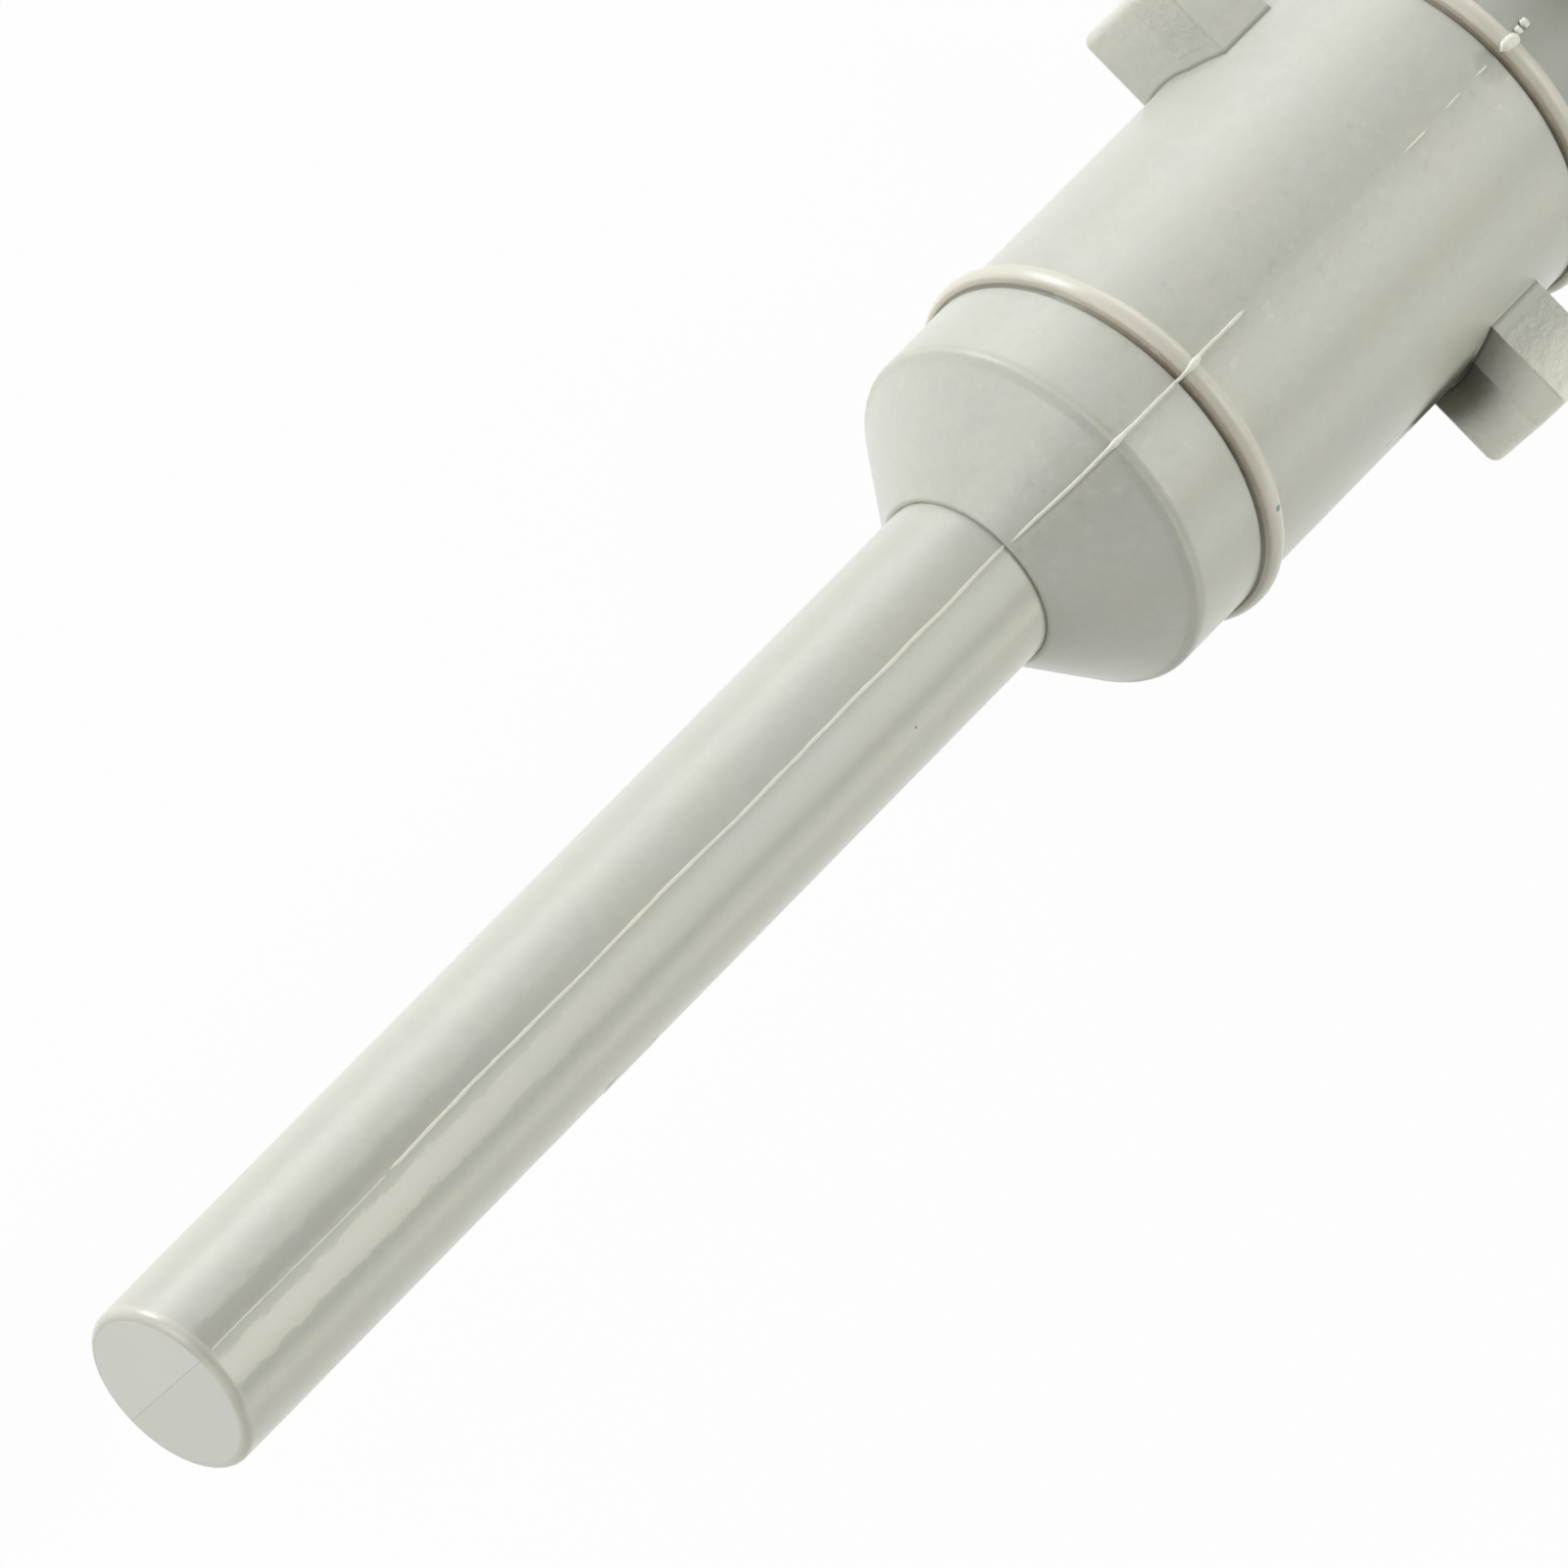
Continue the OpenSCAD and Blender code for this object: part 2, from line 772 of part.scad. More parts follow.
module rear_bumper() {
    color(RUBBER)
        along_pump()
            tube(barrel_bore_r - fit_gap, rod_r + free_gap, barrel_a, bumper_end);
}

module main_spring() {
    color(STEEL)
        along_pump()
            translate([0, 0, spring_a])
                coil_spring(main_r, main_wire, main_turns, seat_a - spring_a);
}

module spring_seat() {
    color(STEEL)
        along_pump()
            tube(nose_bore_r - fit_gap, seat_hole_r, seat_a, seat_end);
}

module nose_cap() {
    groove_from = nose_ring_a - nose_groove_w / 2;
    groove_to = nose_ring_a + nose_groove_w / 2;
    recess_a = nose_front - 2 * nozzle_ring_r;
    color(NOSE)
        along_pump()
            difference() {
                rotate_extrude()
                    polygon([
                        [nose_bore_r, nose_a],
                        [nose_spigot_r, nose_a],
                        [nose_spigot_r, groove_from],
                        [nose_groove_r, groove_from],
                        [nose_groove_r, groove_to],
                        [nose_spigot_r, groove_to],
                        [nose_spigot_r, barrel_end],
                        [grip_r - grip_edge, barrel_end],
                        [grip_r, barrel_end + grip_edge],
                        [grip_r, grip_end],
                        [grip_r - grip_chamfer, grip_end + grip_chamfer],
                        [nut_r, cone_end],
                        [nose_boss_r, cone_end],
                        [nose_boss_r, nose_front],
                        [nozzle_recess_r, nose_front],
                        [nozzle_recess_r, recess_a],
                        [nozzle_socket_r, recess_a],
                        [nozzle_socket_r, funnel_end],
                        [nose_bore_r - funnel_step, seat_end],
                        [nose_bore_r, seat_end]
                    ]);
                flutes(grip_flutes, grip_r, flute_r, flute_depth, barrel_end + flute_start, grip_end + over);
            }
}

module nose_o_ring() {
    color(RUBBER)
        along_pump()
            seal_ring(nose_ring_mid_r, nose_ring_r, nose_ring_a);
}

module nozzle() {
    color(PTFE)
        along_pump()
            rotate_extrude()
                polygon([
                    [nozzle_bore_r, nozzle_tail_a],
                    [nozzle_tail_r, nozzle_tail_a],
                    [nozzle_tail_r, nose_front],
                    [nose_boss_r, nose_front],
                    [nose_boss_r, nut_step],
                    [nozzle_collar_r, nut_step],
                    [nozzle_collar_r, nozzle_collar_end],
                    [nozzle_r, nozzle_collar_end],
                    [nozzle_r, taper_a],
                    [nozzle_tip_r, nozzle_end],
                    [nozzle_bore_r, nozzle_end]
                ]);
}

module nozzle_o_ring() {
    color(RUBBER)
        along_pump()
            seal_ring(nozzle_socket_r + nozzle_ring_r, nozzle_ring_r - seal_gap, nose_front - nozzle_ring_r);
}

module nozzle_nut() {
    hole_r = nozzle_collar_r + fit_gap;
    color(NOSE)
        along_pump()
            difference() {
                rotate_extrude()
                    polygon([
                        [nose_boss_r + fit_gap, nut_a],
                        [nut_r, nut_a],
                        [nut_r, nut_end - nut_edge],
                        [nut_r - nut_edge, nut_end],
                        [hole_r, nut_end],
                        [hole_r, nut_step],
                        [nose_boss_r + fit_gap, nut_step]
                    ]);
                flutes(nut_flutes, nut_r, nut_flute_r, nut_flute_depth, nut_a - over, nut_end + over);
            }
}

module plunger_rod() {
    color(ROD)
        along_pump()
            difference() {
                rotate_extrude() {
                    polygon([
                        [0, -rod_exposed],
                        [rod_r - rod_edge_r, -rod_exposed],
                        [rod_r - rod_edge_r, rod_edge_r - rod_exposed],
                        [rod_r, rod_edge_r - rod_exposed],
                        [rod_r, groove_a - groove_w / 2],
                        [rod_r - groove_depth, groove_a - groove_w / 2],
                        [rod_r - groove_depth, groove_a + groove_w / 2],
                        [rod_r, groove_a + groove_w / 2],
                        [rod_r, piston_a],
                        [rod_spigot_r, piston_a],
                        [rod_spigot_r, piston_end - rod_spigot_gap],
                        [0, piston_end - rod_spigot_gap]
                    ]);
                    intersection() {
                        translate([rod_r - rod_edge_r, rod_edge_r - rod_exposed])
                            circle(r = rod_edge_r);
                        translate([0, -rod_exposed])
                            square([rod_d, 2 * rod_edge_r]);
                    }
                }
                bar(screw_hole_r, washer_end - screw_len - screw_hole_extra, piston_end);
            }
}

module piston() {
    color(ACETAL)
        along_pump()
            difference() {
                rotate_extrude()
                    polygon([
                        [rod_spigot_r + fit_gap, piston_a],
                        [piston_r - piston_chamfer, piston_a],
                        [piston_r, piston_a + piston_chamfer],
                        [piston_r, piston_end - piston_chamfer],
                        [piston_r - piston_chamfer, piston_end],
                        [rod_spigot_r + fit_gap, piston_end]
                    ]);
                for (a = piston_grooves)
                    tube(piston_r + over, piston_groove_r, a - piston_groove_w / 2, a + piston_groove_w / 2);
            }
}

module piston_o_rings() {
    color(RUBBER)
        along_pump()
            for (a = piston_grooves)
                seal_ring(piston_ring_mid_r, piston_ring_r, a);
}

module piston_washer() {
    color(STEEL)
        along_pump()
            tube(washer_r, screw_hole_r, piston_end, washer_end);
}

module piston_screw() {
    color(STEEL)
        along_pump()
            difference() {
                union() {
                    bar(screw_d / 2, washer_end - screw_len, washer_end + over);
                    translate([0, 0, washer_end])
                        cylinder(d = screw_af / cos(30), h = screw_head, $fn = 6);
                }
                bar(pin_r + fit_gap, screw_end - pin_seat, screw_end + over);
            }
}

module cleaning_pin() {
    color(STEEL)
        along_pump() {
            bar(pin_r, screw_end - pin_seat, pin_tip - pin_r);
            translate([0, 0, pin_tip - pin_r])
                sphere(r = pin_r);
        }
}

left_shell();
right_shell();
rod_wiper();
rod_guide_bush();
latch_carrier();
button_spring();
barrel();
rear_bumper();
main_spring();
spring_seat();
nose_cap();
nose_o_ring();
nozzle();
nozzle_o_ring();
nozzle_nut();
plunger_rod();
piston();
piston_o_rings();
piston_washer();
piston_screw();
cleaning_pin();
release_button();
latch_plate();
button_pin();
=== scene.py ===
import math
import random

import bmesh
import bpy
from mathutils import Matrix, Vector
from mathutils.bvhtree import BVHTree


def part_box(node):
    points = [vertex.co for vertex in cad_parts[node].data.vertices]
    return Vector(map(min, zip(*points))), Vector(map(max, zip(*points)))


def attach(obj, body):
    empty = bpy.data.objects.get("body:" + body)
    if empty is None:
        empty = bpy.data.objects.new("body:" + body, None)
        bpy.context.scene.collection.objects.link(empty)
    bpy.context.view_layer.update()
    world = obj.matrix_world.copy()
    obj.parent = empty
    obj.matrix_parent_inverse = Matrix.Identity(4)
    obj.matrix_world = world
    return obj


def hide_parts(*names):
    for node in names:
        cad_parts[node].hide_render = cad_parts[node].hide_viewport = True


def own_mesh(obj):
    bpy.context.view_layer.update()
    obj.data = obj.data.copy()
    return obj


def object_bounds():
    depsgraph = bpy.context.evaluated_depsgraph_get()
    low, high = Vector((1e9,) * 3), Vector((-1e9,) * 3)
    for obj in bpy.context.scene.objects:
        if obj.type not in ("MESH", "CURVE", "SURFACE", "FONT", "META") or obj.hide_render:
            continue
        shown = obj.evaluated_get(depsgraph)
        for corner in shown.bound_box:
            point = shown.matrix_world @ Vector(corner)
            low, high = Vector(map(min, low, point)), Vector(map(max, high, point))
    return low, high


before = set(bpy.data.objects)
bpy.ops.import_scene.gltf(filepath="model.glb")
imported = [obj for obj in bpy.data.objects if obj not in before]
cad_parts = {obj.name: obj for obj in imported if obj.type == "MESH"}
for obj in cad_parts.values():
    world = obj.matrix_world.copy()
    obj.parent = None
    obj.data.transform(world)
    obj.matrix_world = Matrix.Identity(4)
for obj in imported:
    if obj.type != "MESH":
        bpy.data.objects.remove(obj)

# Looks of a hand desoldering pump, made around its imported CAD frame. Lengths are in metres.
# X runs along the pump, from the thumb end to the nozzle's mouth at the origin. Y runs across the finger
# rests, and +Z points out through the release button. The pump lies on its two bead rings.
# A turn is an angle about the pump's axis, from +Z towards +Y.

MM = 0.001
CAD_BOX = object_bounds()

# Places that the frame gives
TIP_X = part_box("plunger_rod")[0].x
ROD_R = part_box("plunger_rod")[1].y
MOUTH_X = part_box("left_shell")[0].x
HOUSING_END_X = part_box("left_shell")[1].x
FLOOR_Z = CAD_BOX[0].z
SHELLS = ["left_shell", "right_shell"]

# The housing's outside is felt out at this spacing, from farther out than anything reaches
SCAN_STEP = 0.05 * MM
FAR_R = 30 * MM
# The outline runs just beside the lower parting line, and a bead ring stands this far proud of it
OUTLINE_TURN = math.pi * 0.99
RING_CLEAR = 0.05 * MM


# ---------------------------------------------------------------- geometry helpers

def around(turn):
    """Unit vector that points away from the axis at a turn."""
    return Vector((0, math.sin(turn), math.cos(turn)))


def skin_of(nodes):
    """Ray-cast trees of some CAD nodes."""
    trees = []
    for name in nodes:
        mesh = bmesh.new()
        mesh.from_mesh(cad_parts[name].data)
        trees.append(BVHTree.FromBMesh(mesh))
        mesh.free()
    return trees


def radius_at(trees, x, turn):
    """Distance from the axis to the outermost surface at a station and a turn, or None past its end."""
    outwards = around(turn)
    start = Vector((x, 0, 0)) + outwards * FAR_R
    hits = [tree.ray_cast(start, -outwards, FAR_R) for tree in trees]
    radii = [FAR_R - hit[3] for hit in hits if hit[0] is not None]
    return max(radii) if radii else None


def housing_outline():
    """(station, radius) of the housing's outside, all along its underside."""
    trees = skin_of(SHELLS)
    count = int((HOUSING_END_X - MOUTH_X) / SCAN_STEP)
    stations = [MOUTH_X + (i + 0.5) * SCAN_STEP for i in range(count)]
    return [(x, radius_at(trees, x, OUTLINE_TURN)) for x in stations]


def first_past(outline, radius):
    """Station where the housing's outside first comes up to a radius."""
    return next(x for x, r in outline if r is not None and r >= radius)


def bead_rings(outline, body_r):
    """(foot, crest) stations of the bead rings: where each stands clear of the housing, and its middle."""
    proud = [x for x, r in outline if r is not None and r > body_r + RING_CLEAR]
    split = next(i for i in range(1, len(proud)) if proud[i] - proud[i - 1] > MM)
    return [(ring[0], (ring[0] + ring[-1]) / 2) for ring in (proud[:split], proud[split:])]


def finger_rest(body_r):
    """(middle, half length) of the finger rests along the pump."""
    trees = skin_of(SHELLS)
    count = int((HOUSING_END_X - MOUTH_X) / SCAN_STEP)
    stations = [MOUTH_X + i * SCAN_STEP for i in range(count)]
    on_rest = [x for x in stations if (radius_at(trees, x, math.pi / 2) or 0) > body_r + 2 * MM]
    return (on_rest[0] + on_rest[-1]) / 2, (on_rest[-1] - on_rest[0]) / 2


OUTLINE = housing_outline()
BODY_R = sorted(r for x, r in OUTLINE if r is not None)[len(OUTLINE) // 2]
CONE_END_X = first_past(OUTLINE, BODY_R - 0.02 * MM)
(FOOT_1_X, RING_1_X), (FOOT_2_X, RING_2_X) = bead_rings(OUTLINE, BODY_R)
REST_X, REST_HALF = finger_rest(BODY_R)


def lattice(rows, columns, closed=False):
    """Quads between rows + 1 rows of points. A row has columns + 1 points, or columns where it closes."""
    row = columns if closed else columns + 1
    faces = []
    for i in range(rows):
        for k in range(columns):
            a, b = i * row + k, i * row + (k + 1) % row
            faces.append((a, b, b + row, a + row))
    return faces


def new_piece(name, points, faces, body, material, smooth=True):
    """A mesh piece in the row frame that rides on a body."""
    mesh = bpy.data.meshes.new(name)
    mesh.from_pydata([tuple(p) for p in points], [], faces)
    mesh.update()
    for polygon in mesh.polygons:
        polygon.use_smooth = smooth
    piece = bpy.data.objects.new(name, mesh)
    bpy.context.scene.collection.objects.link(piece)
    piece.data.materials.append(material)
    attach(piece, body)
    return piece


# ---------------------------------------------------------------- camera

# The axis lies 59.02 degrees off the line of sight and climbs at 45.41 degrees across the picture
AXIS_TILT = math.radians(59.02)
AXIS_CLIMB = math.radians(45.41)
# The parting line is seen a little below the middle of the pump
CAMERA_ROLL = math.radians(2.1)
CAMERA_LENS = 562.5
CAMERA_OFFSET = (28.49 * MM, 28.13 * MM, 1132.3 * MM)


def make_camera():
    """A long lens that looks down on the thumb end, with the pump leaving at the upper right."""
    across, along = math.sin(AXIS_TILT), math.cos(AXIS_TILT)
    right = Vector((across * math.cos(AXIS_CLIMB), -math.sin(AXIS_CLIMB), along * math.cos(AXIS_CLIMB)))
    up = Vector((across * math.sin(AXIS_CLIMB), math.cos(AXIS_CLIMB), along * math.sin(AXIS_CLIMB)))
    back = Vector((-along, 0, across))
    roll = Matrix.Rotation(-CAMERA_ROLL, 3, "X")
    right, up, back = roll @ right, roll @ up, roll @ back
    away = right * CAMERA_OFFSET[0] + up * CAMERA_OFFSET[1] + back * CAMERA_OFFSET[2]
    data = bpy.data.cameras.new("camera")
    data.lens = CAMERA_LENS
    data.sensor_width = 36
    data.clip_start = 0.01
    data.clip_end = 20
    camera = bpy.data.objects.new("camera", data)
    turned = Matrix((right, up, back)).transposed().to_4x4()
    turned.translation = Vector((TIP_X, 0, 0)) + away
    camera.matrix_world = turned
    bpy.context.scene.collection.objects.link(camera)
    bpy.context.scene.camera = camera


make_camera()


# ---------------------------------------------------------------- material helpers

def new_material(name):
    """A material with its node tree and its shader."""
    material = bpy.data.materials.new(name)
    material.use_nodes = True
    tree = material.node_tree
    return material, tree, tree.nodes["Principled BSDF"]


def feed(tree, socket, value):
    """Link an input to another node's socket, or give it a value."""
    if isinstance(value, bpy.types.NodeSocket):
        tree.links.new(value, socket)
    else:
        socket.default_value = value


def add(tree, kind, inputs=None, **settings):
    """A node with its settings. An input is a value or another node's socket."""
    made = tree.nodes.new(kind)
    for name, value in settings.items():
        setattr(made, name, value)
    for name, value in (inputs or {}).items():
        feed(tree, made.inputs[name], value)
    return made


def maths(tree, operation, a, b=0.0):
    """What an operation makes of one or two values or sockets."""
    made = add(tree, "ShaderNodeMath", operation=operation)
    feed(tree, made.inputs[0], a)
    feed(tree, made.inputs[1], b)
    return made.outputs[0]


def plus(tree, a, b):
    """The sum of two values or sockets."""
    return maths(tree, "ADD", a, b)


def times(tree, *factors):
    """The product of some masks, values or sockets, the first of them a socket."""
    product = factors[0]
    for factor in factors[1:]:
        product = maths(tree, "MULTIPLY", product, factor)
    return product


def remap(tree, value, low, high, to_low=0.0, to_high=1.0):
    """A value carried smoothly from one range to another, held at its ends."""
    made = add(tree, "ShaderNodeMapRange", interpolation_type="SMOOTHSTEP")
    tree.links.new(value, made.inputs["Value"])
    for name, number in (("From Min", low), ("From Max", high), ("To Min", to_low), ("To Max", to_high)):
        made.inputs[name].default_value = number
    return made.outputs["Result"]


def tinted(tree, factor, colour_a, colour_b):
    """One colour turning into another as factor goes from 0 to 1."""
    made = add(tree, "ShaderNodeMix", data_type="RGBA", clamp_factor=True)
    for socket, value in ((made.inputs[0], factor), (made.inputs[6], colour_a), (made.inputs[7], colour_b)):
        feed(tree, socket, (*value, 1) if isinstance(value, tuple) else value)
    return made.outputs[2]


def noise(tree, coords, size, detail=2.0, rough=0.5, stretch=1.0, distortion=0.0):
    """Noise from 0 to 1 with features of a size, drawn out along the pump by stretch."""
    turned = add(tree, "ShaderNodeMapping", {"Vector": coords, "Scale": (1 / stretch, 1, 1)})
    made = add(tree, "ShaderNodeTexNoise", {
        "Vector": turned.outputs[0], "Scale": 0.5 / size, "Detail": detail,
        "Roughness": rough, "Distortion": distortion})
    return made.outputs[0]


def cloudy(tree, coords, size, **settings):
    """Noise whose middle tones are spread over 0 to 1."""
    return remap(tree, noise(tree, coords, size, **settings), 0.3, 0.7)


def bump(tree, height, depth, normal=None):
    """A normal tilted by a height map of a real depth."""
    made = add(tree, "ShaderNodeBump", {"Strength": 1.0, "Distance": depth, "Height": height})
    if normal is not None:
        tree.links.new(normal, made.inputs["Normal"])
    return made.outputs[0]


def srgb(red, green, blue):
    """A colour given as 0 to 255 on screen, as linear light."""
    def linear(value):
        share = value / 255
        return share / 12.92 if share <= 0.04045 else ((share + 0.055) / 1.055) ** 2.4
    return linear(red), linear(green), linear(blue)


def place(tree):
    """Where a point is: its coordinates, its station, side and height, and its distance from the axis."""
    coords = add(tree, "ShaderNodeTexCoord").outputs["Object"]
    x, y, z = add(tree, "ShaderNodeSeparateXYZ", {"Vector": coords}).outputs
    squares = plus(tree, times(tree, y, y), times(tree, z, z))
    return coords, x, y, z, maths(tree, "SQRT", squares)


def band(tree, value, centre, half, fade):
    """1 where a value lies within half of a centre, falling to 0 over a further fade."""
    away = maths(tree, "ABSOLUTE", maths(tree, "SUBTRACT", value, centre))
    return remap(tree, away, half, half + fade, 1.0, 0.0)


def spot(tree, coords, centre, radius):
    """1 inside a small round spot at a point, with a soft edge."""
    away = add(tree, "ShaderNodeVectorMath", {"Vector": coords}, operation="DISTANCE")
    away.inputs[1].default_value = centre
    return remap(tree, away.outputs["Value"], radius * 0.6, radius, 1.0, 0.0)


def on_surface(x, turn, radius):
    """A point at a station, a turn in degrees and a distance from the axis."""
    outwards = around(math.radians(turn))
    return Vector((x, outwards.y * radius, outwards.z * radius))


def specks(tree, coords, pitch, radius, share):
    """1 on fine round specks, in a share of the cells of a loose grid."""
    cells = add(tree, "ShaderNodeTexVoronoi", {"Vector": coords, "Scale": 1 / pitch, "Randomness": 1.0})
    near = remap(tree, cells.outputs["Distance"], radius / pitch * 0.5, radius / pitch, 1.0, 0.0)
    pick = add(tree, "ShaderNodeSeparateColor", {"Color": cells.outputs["Color"]}).outputs[0]
    return times(tree, near, maths(tree, "LESS_THAN", pick, share))


# ---------------------------------------------------------------- materials

PALE = srgb(203, 204, 192)
# Painted highlight: a paler colour for the thumb end's face, where the light falls
PAINTED_LIT_END_FACE = srgb(222, 224, 214)
CREAM = srgb(217, 214, 198)
CREST = srgb(222, 221, 206)
CREASE = srgb(112, 106, 88)
# Painted shade: the colour laid where shade falls by the finger rests, and in a dark reflection band on the
# rod
PAINTED_SHADE = srgb(72, 69, 57)
# Painted light: a near-white for the rests' lit tips, the rod's bright reflection band and its paler side
PAINTED_LIGHT = srgb(247, 245, 230)
RING_SHADE = srgb(158, 141, 108)
# Painted shade and soiling: the dark line at each bead ring's foot
RING_FOOT_SHADE_AND_DIRT = srgb(124, 110, 82)
BLUE_SPECK = srgb(108, 136, 142)
FLASH = srgb(246, 244, 232)
GREY = srgb(107, 112, 107)
ACETAL = srgb(236, 234, 222)
PTFE = srgb(240, 240, 235)
RUBBER = srgb(34, 34, 35)
FELT = srgb(152, 146, 130)
ZINC = srgb(200, 202, 206)
WIRE = srgb(172, 173, 176)

# How far round an edge its worn, softened look reaches
EDGE_R = 0.22 * MM
# The coat's weight and the specular level of moulded plastic where it is clean
CLEAN_GLOSS = 0.5


def scaled(colour, share):
    """A lighter or darker version of a colour."""
    return tuple(min(1.0, c * share) for c in colour)


def blended(tree, factor, vector_a, vector_b):
    """One direction turning into another as factor goes from 0 to 1."""
    made = add(tree, "ShaderNodeMix", data_type="VECTOR", clamp_factor=True)
    for socket, value in ((made.inputs[0], factor), (made.inputs[4], vector_a), (made.inputs[5], vector_b)):
        tree.links.new(value, socket)
    return made.outputs[1]


def cosine(tree, vector_a, vector_b):
    """How far two directions agree, from 1 downwards."""
    made = add(tree, "ShaderNodeVectorMath", operation="DOT_PRODUCT")
    tree.links.new(vector_a, made.inputs[0])
    tree.links.new(vector_b, made.inputs[1])
    return made.outputs["Value"]


def trued(tree, normal, spots):
    """A normal made exactly round about the axis wherever it is nearly so, so that no facet shows."""
    y, z, radius = spots[2:]
    along = add(tree, "ShaderNodeSeparateXYZ", {"Vector": normal}).outputs[0]
    square = maths(tree, "SUBTRACT", 1.0, times(tree, along, along))
    share = maths(tree, "DIVIDE", maths(tree, "SQRT", maths(tree, "MAXIMUM", square, 0.0)), radius)
    sides = [times(tree, share, side) for side in (y, z)]
    exact = add(tree, "ShaderNodeCombineXYZ", {"X": along, "Y": sides[0], "Z": sides[1]}).outputs[0]
    near = remap(tree, cosine(tree, normal, exact), 0.985, 0.995)
    return blended(tree, near, normal, exact)


def worn_edges(tree, spots, seam=False):
    """A normal that is rounded at hard edges, and a mask of those edges. A seam at side 0 is left plain."""
    soft = add(tree, "ShaderNodeBevel", {"Radius": EDGE_R}, samples=6).outputs[0]
    flat = add(tree, "ShaderNodeNewGeometry").outputs["Normal"]
    if seam:
        soft = blended(tree, band(tree, spots[2], 0.0, EDGE_R, 0.1 * MM), soft, flat)
    return trued(tree, soft, spots), remap(tree, cosine(tree, soft, flat), 0.99, 0.9)


def scattered(shader, weight, reach):
    """Let some light travel a little way inside a pale plastic, so that edges and thin parts glow."""
    shader.subsurface_method = "BURLEY"
    shader.inputs["Subsurface Weight"].default_value = weight
    shader.inputs["Subsurface Radius"].default_value = (1.0, 0.95, 0.8)
    shader.inputs["Subsurface Scale"].default_value = reach


def clouded(tree, coords, colour):
    """A colour that drifts in shade and in hue, with the masks of its broad clouds and its mottle."""
    clouds = cloudy(tree, coords, 3.5 * MM, detail=3, stretch=2.5)
    mottle = cloudy(tree, coords, 0.45 * MM, detail=3, rough=0.6)
    hue = remap(tree, noise(tree, coords, 1.6 * MM, detail=1, stretch=1.4), 0.35, 0.65)
    cool = (colour[0] * 0.99, colour[1] * 0.995, colour[2] * 1.01)
    warm = (colour[0] * 1.005, colour[1], colour[2] * 0.975)
    fine = cloudy(tree, coords, 0.16 * MM, detail=2, rough=0.6)
    small = plus(tree, times(tree, mottle, 0.4), times(tree, fine, 0.3))
    shade = plus(tree, times(tree, clouds, 0.3), small)
    grey = tinted(tree, shade, (0.92, 0.92, 0.92), (1.0, 1.0, 1.0))
    body = add(tree, "ShaderNodeMix", data_type="RGBA", blend_type="MULTIPLY", clamp_factor=True)
    body.inputs[0].default_value = 1.0
    tree.links.new(tinted(tree, hue, cool, warm), body.inputs[6])
    tree.links.new(grey, body.inputs[7])
    return body.outputs[2], clouds, mottle


def relief(tree, spots, normal, ripple, grit, leathery):
    """A normal with long ripples and a fine grain of real depths, and leathery finger rests if wanted."""
    coords, radius = spots[0], spots[4]
    ripples = noise(tree, coords, 1.5 * MM, detail=2, stretch=6, distortion=0.4)
    grain = noise(tree, coords, 0.1 * MM, detail=2, rough=0.7)
    rippled = bump(tree, ripples, ripple, normal)
    if leathery:
        leather = cloudy(tree, coords, 0.3 * MM, detail=3, rough=0.6)
        on_rests = remap(tree, radius, BODY_R + 0.65 * MM, BODY_R + 0.9 * MM)
        rippled = bump(tree, times(tree, leather, on_rests), 0.03 * MM, rippled)
    return bump(tree, grain, grit, rippled)


def moulded_plastic(name, colour, roughness, coat_roughness, ripple, grit, paint=None, seam=False):
    """Satin moulded plastic: clouded colour, fine grain, long sink ripples, and paler worn edges.

    Ripple and grit are depths. A paint returns the painted colour, and a mask of painted shade and matt
    places that dulls the gloss, or None.
    Only the housing has a seam, which is left plain, and leathery finger rests.
    """
    material, tree, shader = new_material(name)
    spots = place(tree)
    coords = spots[0]
    body, clouds, mottle = clouded(tree, coords, colour)
    soft, edge = worn_edges(tree, spots, seam)
    wear = times(tree, edge, remap(tree, noise(tree, coords, 0.8 * MM, detail=3), 0.3, 0.6, 0.25, 0.7))
    painted = tinted(tree, wear, body, CREST)
    dust = specks(tree, coords, 1.3 * MM, 0.05 * MM, 0.16)
    painted = tinted(tree, times(tree, dust, clouds), painted, CREST)
    shader.inputs["Coat Weight"].default_value = CLEAN_GLOSS
    if paint:
        painted, shade_mask = paint(tree, spots, painted, edge)
        if shade_mask is not None:
            clean = remap(tree, shade_mask, 0.25, 0.65, 1.0, 0.0)
            for dulled in ("Coat Weight", "Specular IOR Level"):
                tree.links.new(times(tree, clean, CLEAN_GLOSS), shader.inputs[dulled])
    tree.links.new(painted, shader.inputs["Base Color"])
    tree.links.new(relief(tree, spots, soft, ripple, grit, leathery=seam), shader.inputs["Normal"])
    uneven = remap(tree, mottle, 0, 1, roughness - 0.03, roughness + 0.03)
    tree.links.new(uneven, shader.inputs["Roughness"])
    shader.inputs["IOR"].default_value = 1.48
    shader.inputs["Coat Roughness"].default_value = coat_roughness
    return material


def paint_rings(tree, spots, painted, patchy, right):
    """Creamier bead rings, each with painted shade browning its flank, and a dark line of painted shade and
    soiling at its foot.
    """
    x, radius = spots[1], spots[4]
    proud = remap(tree, radius, BODY_R + 0.03 * MM, BODY_R + 0.2 * MM)
    for foot_x, ring_x in ((FOOT_1_X, RING_1_X), (FOOT_2_X, RING_2_X)):
        ring = times(tree, band(tree, x, ring_x, 0.6 * MM, 0.15 * MM), proud)
        painted = tinted(tree, ring, painted, CREAM)
        # Painted shade on each ring's flank, and at its foot painted shade and soiling, both strongest on
        # the right
        flank = times(tree, remap(tree, x, ring_x - 0.35 * MM, foot_x, 0.0, 0.5), ring, right)
        painted = tinted(tree, flank, painted, RING_SHADE)
        foot = times(tree, band(tree, x, foot_x - 0.03 * MM, 0.07 * MM, 0.12 * MM), patchy, right)
        painted = tinted(tree, foot, painted, RING_FOOT_SHADE_AND_DIRT)
    return painted


